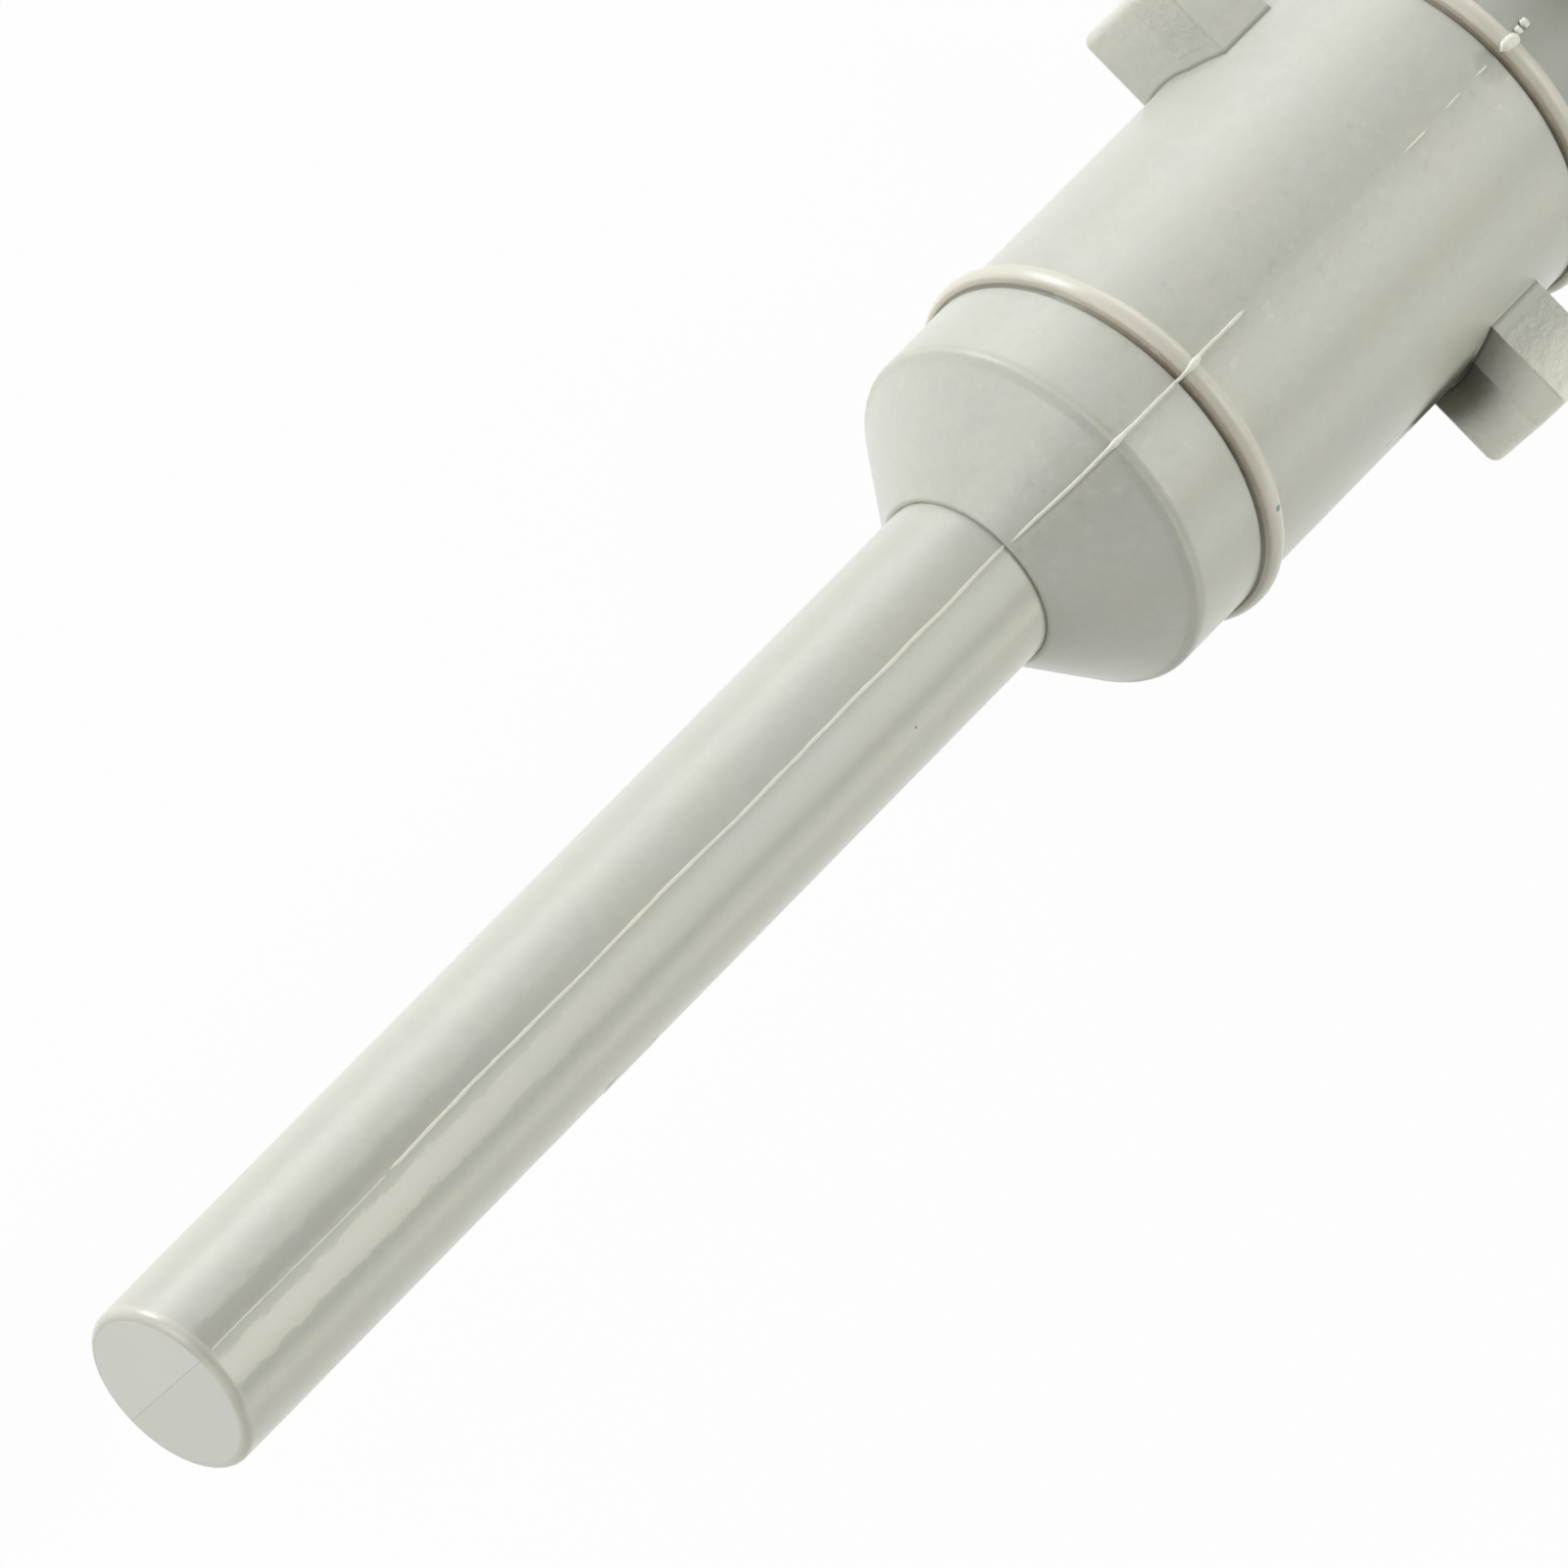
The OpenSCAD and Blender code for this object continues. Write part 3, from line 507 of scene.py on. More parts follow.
def paint_scuffs(tree, spots, painted):
    """Darker and paler scuffs that gather beside the parting line, and a smudge before the second ring."""
    coords, y = spots[0], spots[2]
    near_seam = remap(tree, maths(tree, "ABSOLUTE", y), 5 * MM, 1 * MM, 0.3, 1.0)
    scuffs = noise(tree, coords, 0.4 * MM, detail=4, rough=0.6, stretch=1.3, distortion=0.5)
    darker = times(tree, remap(tree, scuffs, 0.55, 0.75, 0.0, 0.14), near_seam)
    painted = tinted(tree, darker, painted, CREASE)
    paler = times(tree, remap(tree, scuffs, 0.45, 0.25, 0.0, 0.4), near_seam)
    painted = tinted(tree, paler, painted, CREST)
    smudge = spot(tree, coords, on_surface(RING_2_X - 1.3 * MM, -1.0, BODY_R), 1.1 * MM)
    return tinted(tree, times(tree, smudge, 0.22), painted, CREASE)


def paint_housing(tree, spots, painted, edge):
    """The housing's rings, scuffs and rests, its worn and matt cone edge with a painted highlight, a waist
    darkened with painted shade, and a blue speck.

    The rings' painted shade and the cone edge's pale crest are strongest beside the parting line, and
    weakest on the left.
    """
    coords, x, y = spots[:3]
    patchy = remap(tree, noise(tree, coords, 1.1 * MM, detail=3), 0.3, 0.6, 0.7, 1.0)
    right = times(tree, remap(tree, y, 9 * MM, 1 * MM, 0.3, 0.75),
                  remap(tree, y, -5 * MM, -9.5 * MM, 1.0, 0.5))
    painted = paint_rings(tree, spots, painted, patchy, right)
    # Painted highlight along the cone's edge, over its wear
    crest = times(tree, band(tree, x, CONE_END_X - 0.08 * MM, 0.03 * MM, 0.14 * MM), patchy, right)
    painted = tinted(tree, crest, painted, CREST)
    painted = paint_scuffs(tree, spots, painted)
    # Painted shade over the waist just past the second ring, fading out between 4.5 and 8.5 mm past it
    waist = times(tree, remap(tree, x, RING_2_X + 0.5 * MM, RING_2_X + 0.9 * MM, 0.0, 0.65),
                  remap(tree, x, RING_2_X + 8.5 * MM, RING_2_X + 4.5 * MM))
    painted = tinted(tree, waist, painted, scaled(PALE, 0.45))
    painted, shade_mask = paint_rests(tree, spots, painted, edge)
    speck = on_surface(RING_1_X + 0.1 * MM, -47.5, BODY_R + 0.57 * MM)
    matt = times(tree, band(tree, x, CONE_END_X - 0.1 * MM, 0.35 * MM, 0.3 * MM), 0.48)
    painted = tinted(tree, spot(tree, coords, speck, 0.22 * MM), painted, BLUE_SPECK)
    return painted, maths(tree, "MAXIMUM", shade_mask, matt)


def rest_shade_streak(tree, spots):
    """A mask of a ragged streak of painted shade that trails off over the housing from the right finger
    rest.
    """
    coords, x, y, z, radius = spots
    rest_start = REST_X - REST_HALF
    ragged = times(tree, noise(tree, coords, 0.9 * MM, detail=4, rough=0.6, stretch=4), 4 * MM)
    fading = remap(tree, plus(tree, x, ragged), rest_start - 5.0 * MM, rest_start - 0.5 * MM, 0.0, 0.85)
    height = plus(tree, z, times(tree, ragged, 0.4))
    return times(tree, band(tree, height, 2.2 * MM, 0.9 * MM, 1.3 * MM), fading,
                 remap(tree, y, 0.0, -5 * MM),
                 remap(tree, x, rest_start + 0.2 * MM, rest_start),
                 remap(tree, radius, BODY_R + 0.1 * MM, BODY_R + 0.03 * MM))


def paint_rests(tree, spots, painted, edge):
    """Finger rests: tips painted pale as painted light, edges worn pale, and painted shade where they meet
    the housing.

    The right one has deeper painted shade, which trails off over the housing beside it.
    """
    x, y, radius = spots[1], spots[2], spots[4]
    normal = add(tree, "ShaderNodeNewGeometry").outputs["Normal"]
    facing = add(tree, "ShaderNodeSeparateXYZ", {"Vector": normal}).outputs[0]
    on_rest = times(tree, band(tree, x, REST_X, REST_HALF + 0.1 * MM, 0.1 * MM),
                    remap(tree, radius, BODY_R, BODY_R + 0.1 * MM))
    right = remap(tree, y, 0.0, -1 * MM)
    # Painted shade on the right rest's facets that face the thumb end, darkest by the housing
    rod_side = remap(tree, facing, -0.93, -0.99)
    slanted = band(tree, facing, -0.7, 0.2, 0.05)
    near = remap(tree, radius, BODY_R - 0.2 * MM, BODY_R + 3.9 * MM, 0.88, 0.0)
    near_slant = remap(tree, radius, BODY_R - 0.2 * MM, BODY_R + 3.2 * MM, 0.6, 0.0)
    shaded = plus(tree, times(tree, rod_side, near), times(tree, slanted, near_slant))
    on_right = times(tree, on_rest, right, shaded)
    # Painted shade on the right rest, joined by the painted shade streak over the housing beside it
    shade_mask = maths(tree, "MAXIMUM", on_right, rest_shade_streak(tree, spots))
    painted = tinted(tree, shade_mask, painted, PAINTED_SHADE)
    # Painted light: the rests' outer tips painted pale, more on the right one
    reach = remap(tree, radius, BODY_R + 1.4 * MM, BODY_R + 3.8 * MM)
    wear_and_light = times(tree, on_rest, reach, remap(tree, right, 0.0, 1.0, 0.25, 1.0))
    painted = tinted(tree, wear_and_light, painted, PAINTED_LIGHT)
    ridge = times(tree, on_rest, edge, remap(tree, radius, BODY_R + 0.4 * MM, BODY_R + 0.8 * MM, 0.0, 0.7))
    painted = tinted(tree, ridge, painted, CREST)
    # Painted shade in the corner where each rest meets the housing
    corner = remap(tree, radius, BODY_R + 0.35 * MM, BODY_R + 0.05 * MM, 0.0, 0.7)
    return tinted(tree, times(tree, on_rest, corner), painted, PAINTED_SHADE), shade_mask


def paint_rod_reflections(tree, spots, painted):
    """A painted dark reflection band and a painted bright reflection band either side of the rod's upper
    parting line, and a paler right side of painted light.

    The bands have ragged edges and fade away from the thumb end.
    """
    coords, x, y, z = spots[:4]
    ragged = times(tree, noise(tree, coords, 0.3 * MM, detail=4, rough=0.65, stretch=3), 1.0 * MM)
    across = plus(tree, y, maths(tree, "SUBTRACT", ragged, 0.5 * MM))
    near_thumb = remap(tree, x, TIP_X + 45 * MM, TIP_X)
    # Painted reflection: a dark band on one side of the parting line
    dark_reflection = times(tree, band(tree, across, 0.75 * MM, 0.25 * MM, 0.6 * MM),
                 remap(tree, near_thumb, 0.0, 1.0, 0.0, 0.22))
    painted = tinted(tree, times(tree, dark_reflection, remap(tree, z, 0.0, 1 * MM)), painted, PAINTED_SHADE)
    # Painted reflection: a bright band on the other side of the parting line
    wear_and_light = times(tree, band(tree, across, -1.2 * MM, 0.6 * MM, 0.25 * MM),
                   remap(tree, near_thumb, 0.0, 1.0, 0.0, 0.4))
    painted = tinted(tree, times(tree, wear_and_light, remap(tree, z, 0.0, 1 * MM)), painted, PAINTED_LIGHT)
    # Painted light: the rod's right side painted paler
    return tinted(tree, remap(tree, across, -2.4 * MM, -3.2 * MM, 0.0, 0.22), painted, PAINTED_LIGHT)


def paint_rod(tree, spots, painted, edge):
    """The rod: painted reflection bands, a creamier rim, a thumb end painted paler as a painted highlight
    with a faint line across it, and a dark speck.
    """
    coords, x, y = spots[:3]
    radius = spots[4]
    at_tip = band(tree, x, TIP_X, 0.5 * MM, 0.2 * MM)
    painted = paint_rod_reflections(tree, spots, painted)
    rim = times(tree, at_tip, remap(tree, radius, ROD_R - 0.6 * MM, ROD_R - 0.3 * MM, 0.0, 0.55))
    painted = tinted(tree, rim, painted, CREAM)
    # Painted highlight: the thumb end's face painted paler, with its -Y half 4% darker
    face = times(tree, band(tree, x, TIP_X, 0.01 * MM, 0.03 * MM),
                 remap(tree, radius, ROD_R - 0.4 * MM, ROD_R - 0.5 * MM))
    halves = tinted(tree, remap(tree, y, 0.12 * MM, 0.05 * MM), PAINTED_LIT_END_FACE, scaled(PAINTED_LIT_END_FACE, 0.96))
    painted = tinted(tree, face, painted, halves)
    line = times(tree, face, band(tree, y, 0.1 * MM, 0.015 * MM, 0.05 * MM))
    painted = tinted(tree, times(tree, line, 0.22), painted, CREASE)
    speck = on_surface(MOUTH_X - 9.9 * MM, -39.2, ROD_R)
    return tinted(tree, spot(tree, coords, speck, 0.1 * MM), painted, CREASE), None


def brushed_metal(name, colour, roughness, stretch):
    """Steel with fine lines along the pump, uneven polish and a few duller patches."""
    material, tree, shader = new_material(name)
    spots = place(tree)
    coords = spots[0]
    lines = noise(tree, coords, 0.06 * MM, detail=3, rough=0.6, stretch=stretch)
    patches = cloudy(tree, coords, 1.5 * MM, detail=3)
    tree.links.new(tinted(tree, patches, scaled(colour, 0.85), colour), shader.inputs["Base Color"])
    uneven = remap(tree, patches, 0, 1, roughness + 0.08, roughness - 0.04)
    tree.links.new(uneven, shader.inputs["Roughness"])
    tree.links.new(bump(tree, lines, 0.002 * MM, worn_edges(tree, spots)[0]), shader.inputs["Normal"])
    shader.inputs["Metallic"].default_value = 1.0
    return material


def slick_plastic(name, colour, roughness, ior):
    """Turned white plastic: a waxy sheen, fine turning lines round the axis, and a faint yellowing."""
    material, tree, shader = new_material(name)
    spots = place(tree)
    coords = spots[0]
    aged = remap(tree, noise(tree, coords, 2.5 * MM, detail=3), 0.35, 0.7)
    yellowed = (colour[0] * 0.97, colour[1] * 0.95, colour[2] * 0.88)
    body = tinted(tree, times(tree, aged, 0.7), colour, yellowed)
    tree.links.new(body, shader.inputs["Base Color"])
    turning = noise(tree, coords, 0.05 * MM, detail=2, stretch=0.2)
    tree.links.new(bump(tree, turning, 0.001 * MM, worn_edges(tree, spots)[0]), shader.inputs["Normal"])
    tree.links.new(remap(tree, aged, 0, 1, roughness - 0.04, roughness + 0.05), shader.inputs["Roughness"])
    shader.inputs["IOR"].default_value = ior
    scattered(shader, 0.3, 0.8 * MM)
    return material


def black_rubber(name):
    """Matt rubber with fine pores and a little pale dust."""
    material, tree, shader = new_material(name)
    coords = place(tree)[0]
    dust = remap(tree, noise(tree, coords, 0.5 * MM, detail=4, rough=0.7), 0.5, 0.75, 0.0, 0.25)
    tree.links.new(tinted(tree, dust, RUBBER, scaled(PALE, 0.6)), shader.inputs["Base Color"])
    pores = noise(tree, coords, 0.07 * MM, detail=3, rough=0.7)
    tree.links.new(bump(tree, pores, 0.006 * MM), shader.inputs["Normal"])
    tree.links.new(remap(tree, dust, 0.0, 0.25, 0.6, 0.8), shader.inputs["Roughness"])
    return material


def wool_felt(name):
    """Pressed felt: tangled fibres, uneven tone and a soft sheen."""
    material, tree, shader = new_material(name)
    coords = place(tree)[0]
    fibres = noise(tree, coords, 0.12 * MM, detail=5, rough=0.75, stretch=0.4, distortion=1.5)
    tone = cloudy(tree, coords, 0.7 * MM, detail=3)
    mixed = plus(tree, times(tree, fibres, 0.6), times(tree, tone, 0.4))
    tree.links.new(tinted(tree, mixed, scaled(FELT, 0.6), scaled(FELT, 1.25)), shader.inputs["Base Color"])
    tree.links.new(bump(tree, fibres, 0.06 * MM), shader.inputs["Normal"])
    shader.inputs["Roughness"].default_value = 0.95
    shader.inputs["Sheen Weight"].default_value = 0.4
    return material


def grained_plastic(name, colour, roughness):
    """Harder dark plastic with a spark-eroded grain and worn, paler edges."""
    material, tree, shader = new_material(name)
    spots = place(tree)
    coords = spots[0]
    tone = cloudy(tree, coords, 2.2 * MM, detail=3)
    body = tinted(tree, tone, scaled(colour, 0.88), scaled(colour, 1.08))
    soft, edge = worn_edges(tree, spots)
    wear_and_light = times(tree, edge, remap(tree, noise(tree, coords, 0.6 * MM, detail=3), 0.35, 0.65, 0.1, 0.6))
    tree.links.new(tinted(tree, wear_and_light, body, scaled(colour, 1.7)), shader.inputs["Base Color"])
    grain = noise(tree, coords, 0.16 * MM, detail=3, rough=0.6)
    tree.links.new(bump(tree, grain, 0.008 * MM, soft), shader.inputs["Normal"])
    tree.links.new(remap(tree, tone, 0, 1, roughness - 0.04, roughness + 0.04), shader.inputs["Roughness"])
    shader.inputs["IOR"].default_value = 1.5
    return material


# Depths of the ripples and the grain on everything moulded but the rod
MOULDED = {"ripple": 0.002 * MM, "grit": 0.0006 * MM}
HOUSING_PLASTIC = moulded_plastic("housing_plastic", PALE, roughness=0.34, coat_roughness=0.34, **MOULDED,
                                  paint=paint_housing, seam=True)
BARREL_PLASTIC = moulded_plastic("barrel_plastic", PALE, roughness=0.34, coat_roughness=0.34, **MOULDED)
# The rod is smoother, polished by the bush that it slides in
ROD_PLASTIC = moulded_plastic("rod_plastic", PALE, roughness=0.34, coat_roughness=0.22,
                              ripple=0.0015 * MM, grit=0.0001 * MM, paint=paint_rod)
FLASH_PLASTIC = moulded_plastic("flash_plastic", FLASH, roughness=0.4, coat_roughness=0.4, **MOULDED)
DARK_PLASTIC = grained_plastic("dark_plastic", GREY, roughness=0.42)
ACETAL_PLASTIC = slick_plastic("acetal", ACETAL, roughness=0.32, ior=1.48)
PTFE_PLASTIC = slick_plastic("ptfe", PTFE, roughness=0.4, ior=1.36)
BLACK_RUBBER = black_rubber("black_rubber")
WOOL_FELT = wool_felt("felt")
BRIGHT_STEEL = brushed_metal("steel", ZINC, roughness=0.33, stretch=8.0)
SPRING_STEEL = brushed_metal("spring_steel", WIRE, roughness=0.34, stretch=2.0)

FINISHES = [
    (HOUSING_PLASTIC, SHELLS),
    (BARREL_PLASTIC, ["barrel"]),
    (ROD_PLASTIC, ["plunger_rod"]),
    (DARK_PLASTIC, ["nose_cap", "nozzle_nut", "release_button"]),
    (ACETAL_PLASTIC, ["rod_guide_bush", "latch_carrier", "piston"]),
    (PTFE_PLASTIC, ["nozzle"]),
    (BLACK_RUBBER, ["rear_bumper", "nose_o_ring", "nozzle_o_ring", "piston_o_rings"]),
    (WOOL_FELT, ["rod_wiper"]),
    (BRIGHT_STEEL, ["spring_seat", "piston_washer", "piston_screw", "cleaning_pin", "latch_plate",
                    "button_pin"]),
    (SPRING_STEEL, ["main_spring", "button_spring"]),
]

for finish, names in FINISHES:
    for node_name in names:
        node_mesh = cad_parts[node_name].data
        node_mesh.materials.clear()
        node_mesh.materials.append(finish)


# ---------------------------------------------------------------- moulding flash

# The rod slides through its bush with 0.05 mm to spare, so its flash is lower than the housing's
ROD_FLASH_H = 0.035 * MM
HOUSING_FLASH_H = 0.1 * MM
FLASH_W = 0.2 * MM
FLASH_STEP = 0.2 * MM
FLASH_SIDES = 8
# How deep the foot of the flash and of the gate's scar is sunk, so that no gap shows under it
FLASH_SINK = 0.008 * MM
GATE_SINK = 0.006 * MM
# How far a swell of the flash reaches along the line
SWELL_REACH = 0.45 * MM
# Random steps of a line's slope sideways, and of its width
SLOPE_STEP = 0.006 * MM
SWING_STEP = 0.18
# Turn of the rod's upper parting line, in degrees
ROD_SEAM = 1.1


def bridged_radius(trees, x, turn):
    """Radius of the surface, carried over grooves and steps narrower than the flash can follow."""
    radii = [radius_at(trees, x + shift * MM, turn) for shift in (-0.3, -0.15, 0.0, 0.15, 0.3)]
    return max(r for r in radii if r is not None)


def flash_line(name, nodes, body, turn, start, end, height, width, seed, swells=()):
    """A raised line of moulding flash on the surface at a turn in degrees, wavering, with tapered ends.

    A swell is (station, share): the line is that much wider and higher around the station.
    """
    trees = skin_of(nodes)
    wander = random.Random(seed)
    count = max(14, round((end - start) / FLASH_STEP))
    points = []
    lean = slope = swing = 0.0
    for i in range(count + 1):
        x = start + (end - start) * i / count
        slope = 0.8 * slope + wander.uniform(-1, 1) * SLOPE_STEP
        lean = 0.93 * lean + slope
        swing = 0.7 * swing + wander.uniform(-1, 1) * SWING_STEP
        swell = 1 + sum(share * math.exp(-((x - at) / SWELL_REACH) ** 2) for at, share in swells)
        taper = min(1.0, (i + 0.3) / 3, (count - i + 0.3) / 3)
        half_w = width / 2 * (1 + 0.5 * swing) * swell * taper
        lift = height * (1 + 0.3 * swing) * min(swell, 1.5) * taper
        surface = bridged_radius(trees, x, math.radians(turn))
        for k in range(FLASH_SIDES + 1):
            angle = math.pi * k / FLASH_SIDES
            across = lean + half_w * math.cos(angle)
            out = surface + min(lift, height * 1.2) * math.sin(angle) - FLASH_SINK
            points.append(around(math.radians(turn) + across / surface) * out + Vector((x, 0, 0)))
    new_piece(name, points, lattice(count, FLASH_SIDES), body, FLASH_PLASTIC)


# Name, turn, ends, shares of the full height and width, and seed
ROD_FLASH = [
    ("rod_flash_tip", ROD_SEAM, TIP_X + 0.35 * MM, TIP_X + 14 * MM, 0.4, 0.45, 5),
    ("rod_flash_top", ROD_SEAM, TIP_X + 14 * MM, MOUTH_X + 0.6 * MM, 1.0, 1.0, 3),
    ("rod_flash_under", ROD_SEAM + 180, TIP_X + 0.35 * MM, MOUTH_X + 0.6 * MM, 0.6, 0.7, 4),
]
HOUSING_FLASH = [
    ("housing_flash_top", 0.3, MOUTH_X + 0.02 * MM, RING_1_X + 4.8 * MM, 1.0, 1.0, 8),
    ("housing_flash_mid", -0.5, RING_2_X - 8.4 * MM, RING_2_X - 6.4 * MM, 0.5, 0.6, 9),
    ("housing_flash_mid_2", -0.3, RING_2_X - 5.0 * MM, RING_2_X - 3.6 * MM, 0.4, 0.6, 10),
    ("housing_flash_mid_3", 0.1, RING_2_X - 2.4 * MM, RING_2_X - 1.4 * MM, 0.4, 0.6, 11),
    ("ring_flash", 0.3, RING_2_X - 0.7 * MM, RING_2_X + 0.75 * MM, 1.5, 3.0, 12),
    ("waist_flash", 0.8, RING_2_X + 1.0 * MM, RING_2_X + 1.5 * MM, 1.2, 2.2, 13),
    ("waist_flash_2", 1.0, RING_2_X + 1.6 * MM, RING_2_X + 2.2 * MM, 1.5, 2.4, 14),
    ("rest_flake", -75, RING_1_X + 9.6 * MM, RING_1_X + 11.9 * MM, 0.5, 0.8, 17),
    ("cone_flash_under", 180.0, MOUTH_X + 0.02 * MM, FOOT_1_X - 0.1 * MM, 0.5, 0.7, 15),
    ("body_flash_under", 180.0, RING_1_X + 1.0 * MM, FOOT_2_X - 0.2 * MM, 0.5, 0.7, 16),
]
# The line on top swells at the first ring and at the cone's edge
SWELLS = {"housing_flash_top": [(RING_1_X + 0.2 * MM, 1.5), (CONE_END_X, 0.6)]}


def make_rod_flash():
    """Flash along both sides of the rod's mould as far as the mouth, worn down near the thumb end."""
    for name, turn, start, end, high, wide, seed in ROD_FLASH:
        flash_line(name, ["plunger_rod"], "plunger", turn, start, end,
                   ROD_FLASH_H * high, FLASH_W * wide, seed)


def make_housing_flash():
    """A long line of flash on the housing, short pieces past it, lines beneath, and a flake by a rest."""
    for name, turn, start, end, high, wide, seed in HOUSING_FLASH:
        flash_line(name, SHELLS, "housing", turn, start, end,
                   HOUSING_FLASH_H * high, FLASH_W * wide, seed, SWELLS.get(name, ()))


def make_gate_mark():
    """The low oval scar that the mould's gate left on the rod's side."""
    length, width, lift = 4.2 * MM, 1.7 * MM, 0.03 * MM
    centre_x, turn = MOUTH_X - 32.2 * MM, math.radians(-83)
    rows, columns = 24, 10
    points = []
    for i in range(rows + 1):
        u = 2 * i / rows - 1
        for k in range(columns + 1):
            v = 2 * k / columns - 1
            rim = max(0.0, 1 - u * u)
            across = v * width / 2 * math.sqrt(rim)
            bulge = lift * min(1.0, 3 * (1 - v * v) * min(1.0, 4 * rim)) - GATE_SINK
            x = centre_x + u * length / 2
            points.append(around(turn + across / ROD_R) * (ROD_R + bulge) + Vector((x, 0, 0)))
    new_piece("gate_mark", points, lattice(rows, columns), "plunger", ROD_PLASTIC)


def make_mouth_lip():
    """A thin moulded lip that narrows the gap round the rod, left open where the rod's flash passes."""
    notch, start = math.radians(2.5), math.radians(ROD_SEAM)
    steps = 180
    # In mm: how far inwards from the lip's front, which lies just inside the mouth, and the gap to the rod
    section = [(0.0, 0.07), (0.0, 0.014), (0.25, 0.014), (0.4, 0.07)]
    inset = 0.01
    points = []
    for i in range(steps + 1):
        turn = start + notch + (2 * math.pi - 2 * notch) * i / steps
        for inwards, gap in section:
            x = MOUTH_X + (inwards + inset) * MM
            points.append(around(turn) * (ROD_R + gap * MM) + Vector((x, 0, 0)))
    row = len(section)
    faces = lattice(steps, row, closed=True)
    faces.append(tuple(range(row)))
    faces.append(tuple(steps * row + k for k in reversed(range(row))))
    new_piece("mouth_lip", points, faces, "housing", HOUSING_PLASTIC, smooth=False)


make_rod_flash()
make_housing_flash()
make_gate_mark()
make_mouth_lip()


# ---------------------------------------------------------------- springs

# One closed turn at each end takes a little more than the wire
DEAD_TURN = 1.03


def coil_height(turn, turns, wire, length):
    """Height of the wire's middle after some turns: closed at each end, with an even pitch between."""
    dead = wire * DEAD_TURN
    free = length - wire - 2 * dead
    if turn < 1:
        return wire / 2 + dead * turn
    if turn > turns - 1:
        return length - wire / 2 - dead * (turns - turn)
    return wire / 2 + dead + free * (turn - 1) / (turns - 2)


def make_spring(node, wire, turns, axis):
    """A round-wire spring in a CAD spring's place, with a closed turn at each end."""
    low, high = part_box(node)
    middle = (low + high) / 2
    length = (high - low)[axis]
    mid_r = (high.y - low.y) / 2 - wire / 2
    steps, sides = 40, 14
    points = []
    for i in range(turns * steps + 1):
        angle = 2 * math.pi * i / steps
        height = coil_height(i / steps, turns, wire, length)
        for k in range(sides):
            lap = 2 * math.pi * k / sides
            r = mid_r + wire / 2 * math.cos(lap)
            up = height + wire / 2 * math.sin(lap)
            spin = (r * math.cos(angle), r * math.sin(angle))
            if axis == 0:
                points.append(Vector((low.x + up, spin[0] + middle.y, spin[1] + middle.z)))
            else:
                points.append(Vector((spin[0] + middle.x, spin[1] + middle.y, low.z + up)))
    faces = lattice(turns * steps, sides, closed=True)
    last = turns * steps * sides
    faces.append(tuple(reversed(range(sides))))
    faces.append(tuple(range(last, last + sides)))
    spring = new_piece(node + "_wire", points, faces, "housing", SPRING_STEEL)
    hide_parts(node)
    anchor = Vector(middle)
    anchor[axis] = high.x if axis == 0 else low.z
    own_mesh(spring)


make_spring("main_spring", wire=0.9 * MM, turns=11, axis=0)
make_spring("button_spring", wire=0.45 * MM, turns=3, axis=2)


# ---------------------------------------------------------------- studio

# Half the floor's width
FLOOR_HALF = 4
# Share of the floor's brightness that doesn't depend on the lamps
FLOOR_GLOW = 0.97
# Strength of the light that comes evenly from all round
AMBIENT = 0.02
LIT_POINT = Vector((MOUTH_X, 0, 0))
LAMP_DISTANCE = 0.6
WHITE = (1.0, 1.0, 1.0)
WARM = (1.0, 1.0, 0.95)
COOL = (0.94, 0.95, 1.0)

# Name, turn about Z from +X and lift above the floor in degrees, power, size and colour
LAMPS = [
    ("front", 320, 48, 1.15, (0.36, 0.32), WARM),
    ("front_high", 330, 63, 0.28, (0.3, 0.3), WARM),
    ("left", 149, 20, 0.6, (0.34, 0.34), WHITE),
    ("left_high", 143, 40, 0.35, (0.3, 0.3), WHITE),
    ("left_low", 162, 5, 0.4, (0.3, 0.16), WHITE),
    ("left_side", 90, 8, 2.7, (0.4, 0.24), COOL),
    ("back_left", 49, 12, 0.95, (0.7, 0.36), WHITE),
    ("back", 2, 25, 0.6, (0.7, 0.3), WARM),
    ("right", 292, 10, 0.85, (0.7, 0.28), WARM),
    ("thumb_end", 200, 10, 0.4, (0.5, 0.2), WHITE),
]


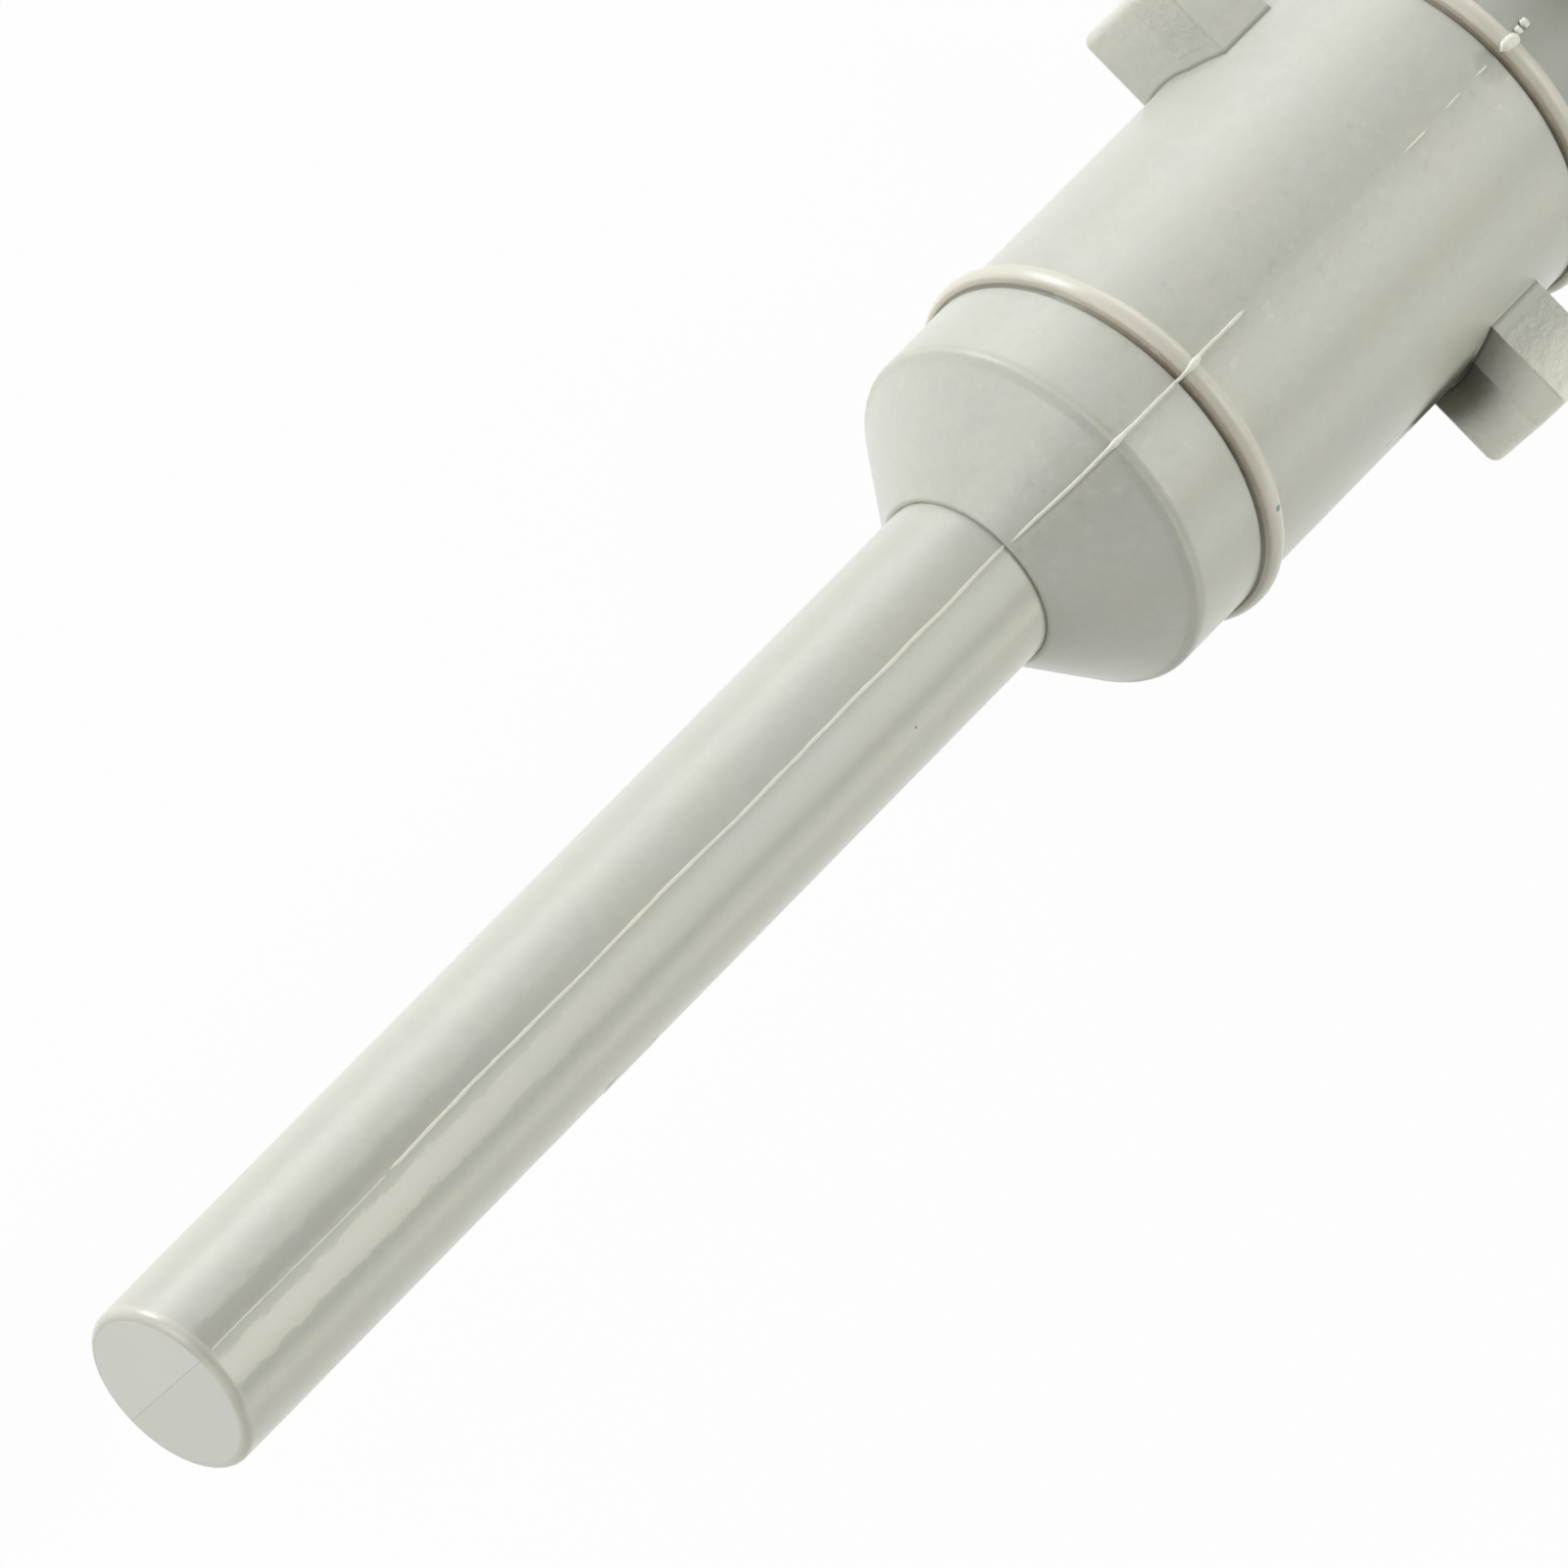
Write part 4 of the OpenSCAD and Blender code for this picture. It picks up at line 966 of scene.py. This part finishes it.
def make_floor():
    """A pale floor that shows white to the camera and keeps a faint shadow."""
    mesh = bpy.data.meshes.new("floor")
    corners = [(x * FLOOR_HALF, y * FLOOR_HALF, FLOOR_Z) for x, y in ((-1, -1), (1, -1), (1, 1), (-1, 1))]
    mesh.from_pydata(corners, [], [(0, 1, 2, 3)])
    floor = bpy.data.objects.new("floor", mesh)
    bpy.context.scene.collection.objects.link(floor)
    material, tree, shader = new_material("floor")
    shader.inputs["Base Color"].default_value = (0.85, 0.85, 0.84, 1)
    shader.inputs["Roughness"].default_value = 0.9
    glow = add(tree, "ShaderNodeEmission", {"Color": (1, 1, 1, 1), "Strength": 1.0})
    mixed = add(tree, "ShaderNodeMixShader")
    tree.links.new(times(tree, seen_directly(tree), FLOOR_GLOW), mixed.inputs[0])
    tree.links.new(shader.outputs[0], mixed.inputs[1])
    tree.links.new(glow.outputs[0], mixed.inputs[2])
    tree.links.new(mixed.outputs[0], tree.nodes["Material Output"].inputs["Surface"])
    floor.data.materials.append(material)


def seen_directly(tree):
    """1 for what the camera sees, also in a reflection or through glass."""
    path = add(tree, "ShaderNodeLightPath")
    seen = maths(tree, "MAXIMUM", path.outputs["Is Camera Ray"], path.outputs["Is Glossy Ray"])
    return maths(tree, "MAXIMUM", seen, path.outputs["Is Transmission Ray"])


def make_world(level):
    """White where it is seen, and an even dim light on everything."""
    world = bpy.data.worlds.new("studio")
    bpy.context.scene.world = world
    world.use_nodes = True
    tree = world.node_tree
    strength = plus(tree, times(tree, seen_directly(tree), 1 - level), level)
    tree.links.new(strength, tree.nodes["Background"].inputs["Strength"])
    tree.nodes["Background"].inputs["Color"].default_value = (1, 1, 1, 1)


def softbox(name, turn, lift, power, size, colour):
    """A soft lamp aimed at the pump: turn about Z from +X, and lift above the floor, in degrees."""
    data = bpy.data.lights.new(name, "AREA")
    data.shape = "RECTANGLE"
    data.size, data.size_y = size
    data.energy = power
    data.color = colour
    lamp = bpy.data.objects.new(name, data)
    azimuth, height = math.radians(turn), math.radians(lift)
    flat = math.cos(height)
    away = Vector((math.cos(azimuth) * flat, math.sin(azimuth) * flat, math.sin(height)))
    lamp.location = LIT_POINT + away * LAMP_DISTANCE
    lamp.rotation_mode = "QUATERNION"
    lamp.rotation_quaternion = away.to_track_quat("Z", "Y")
    bpy.context.scene.collection.objects.link(lamp)


make_floor()
make_world(AMBIENT)
for settings in LAMPS:
    softbox(*settings)

bpy.context.scene.view_settings.view_transform = "Standard"
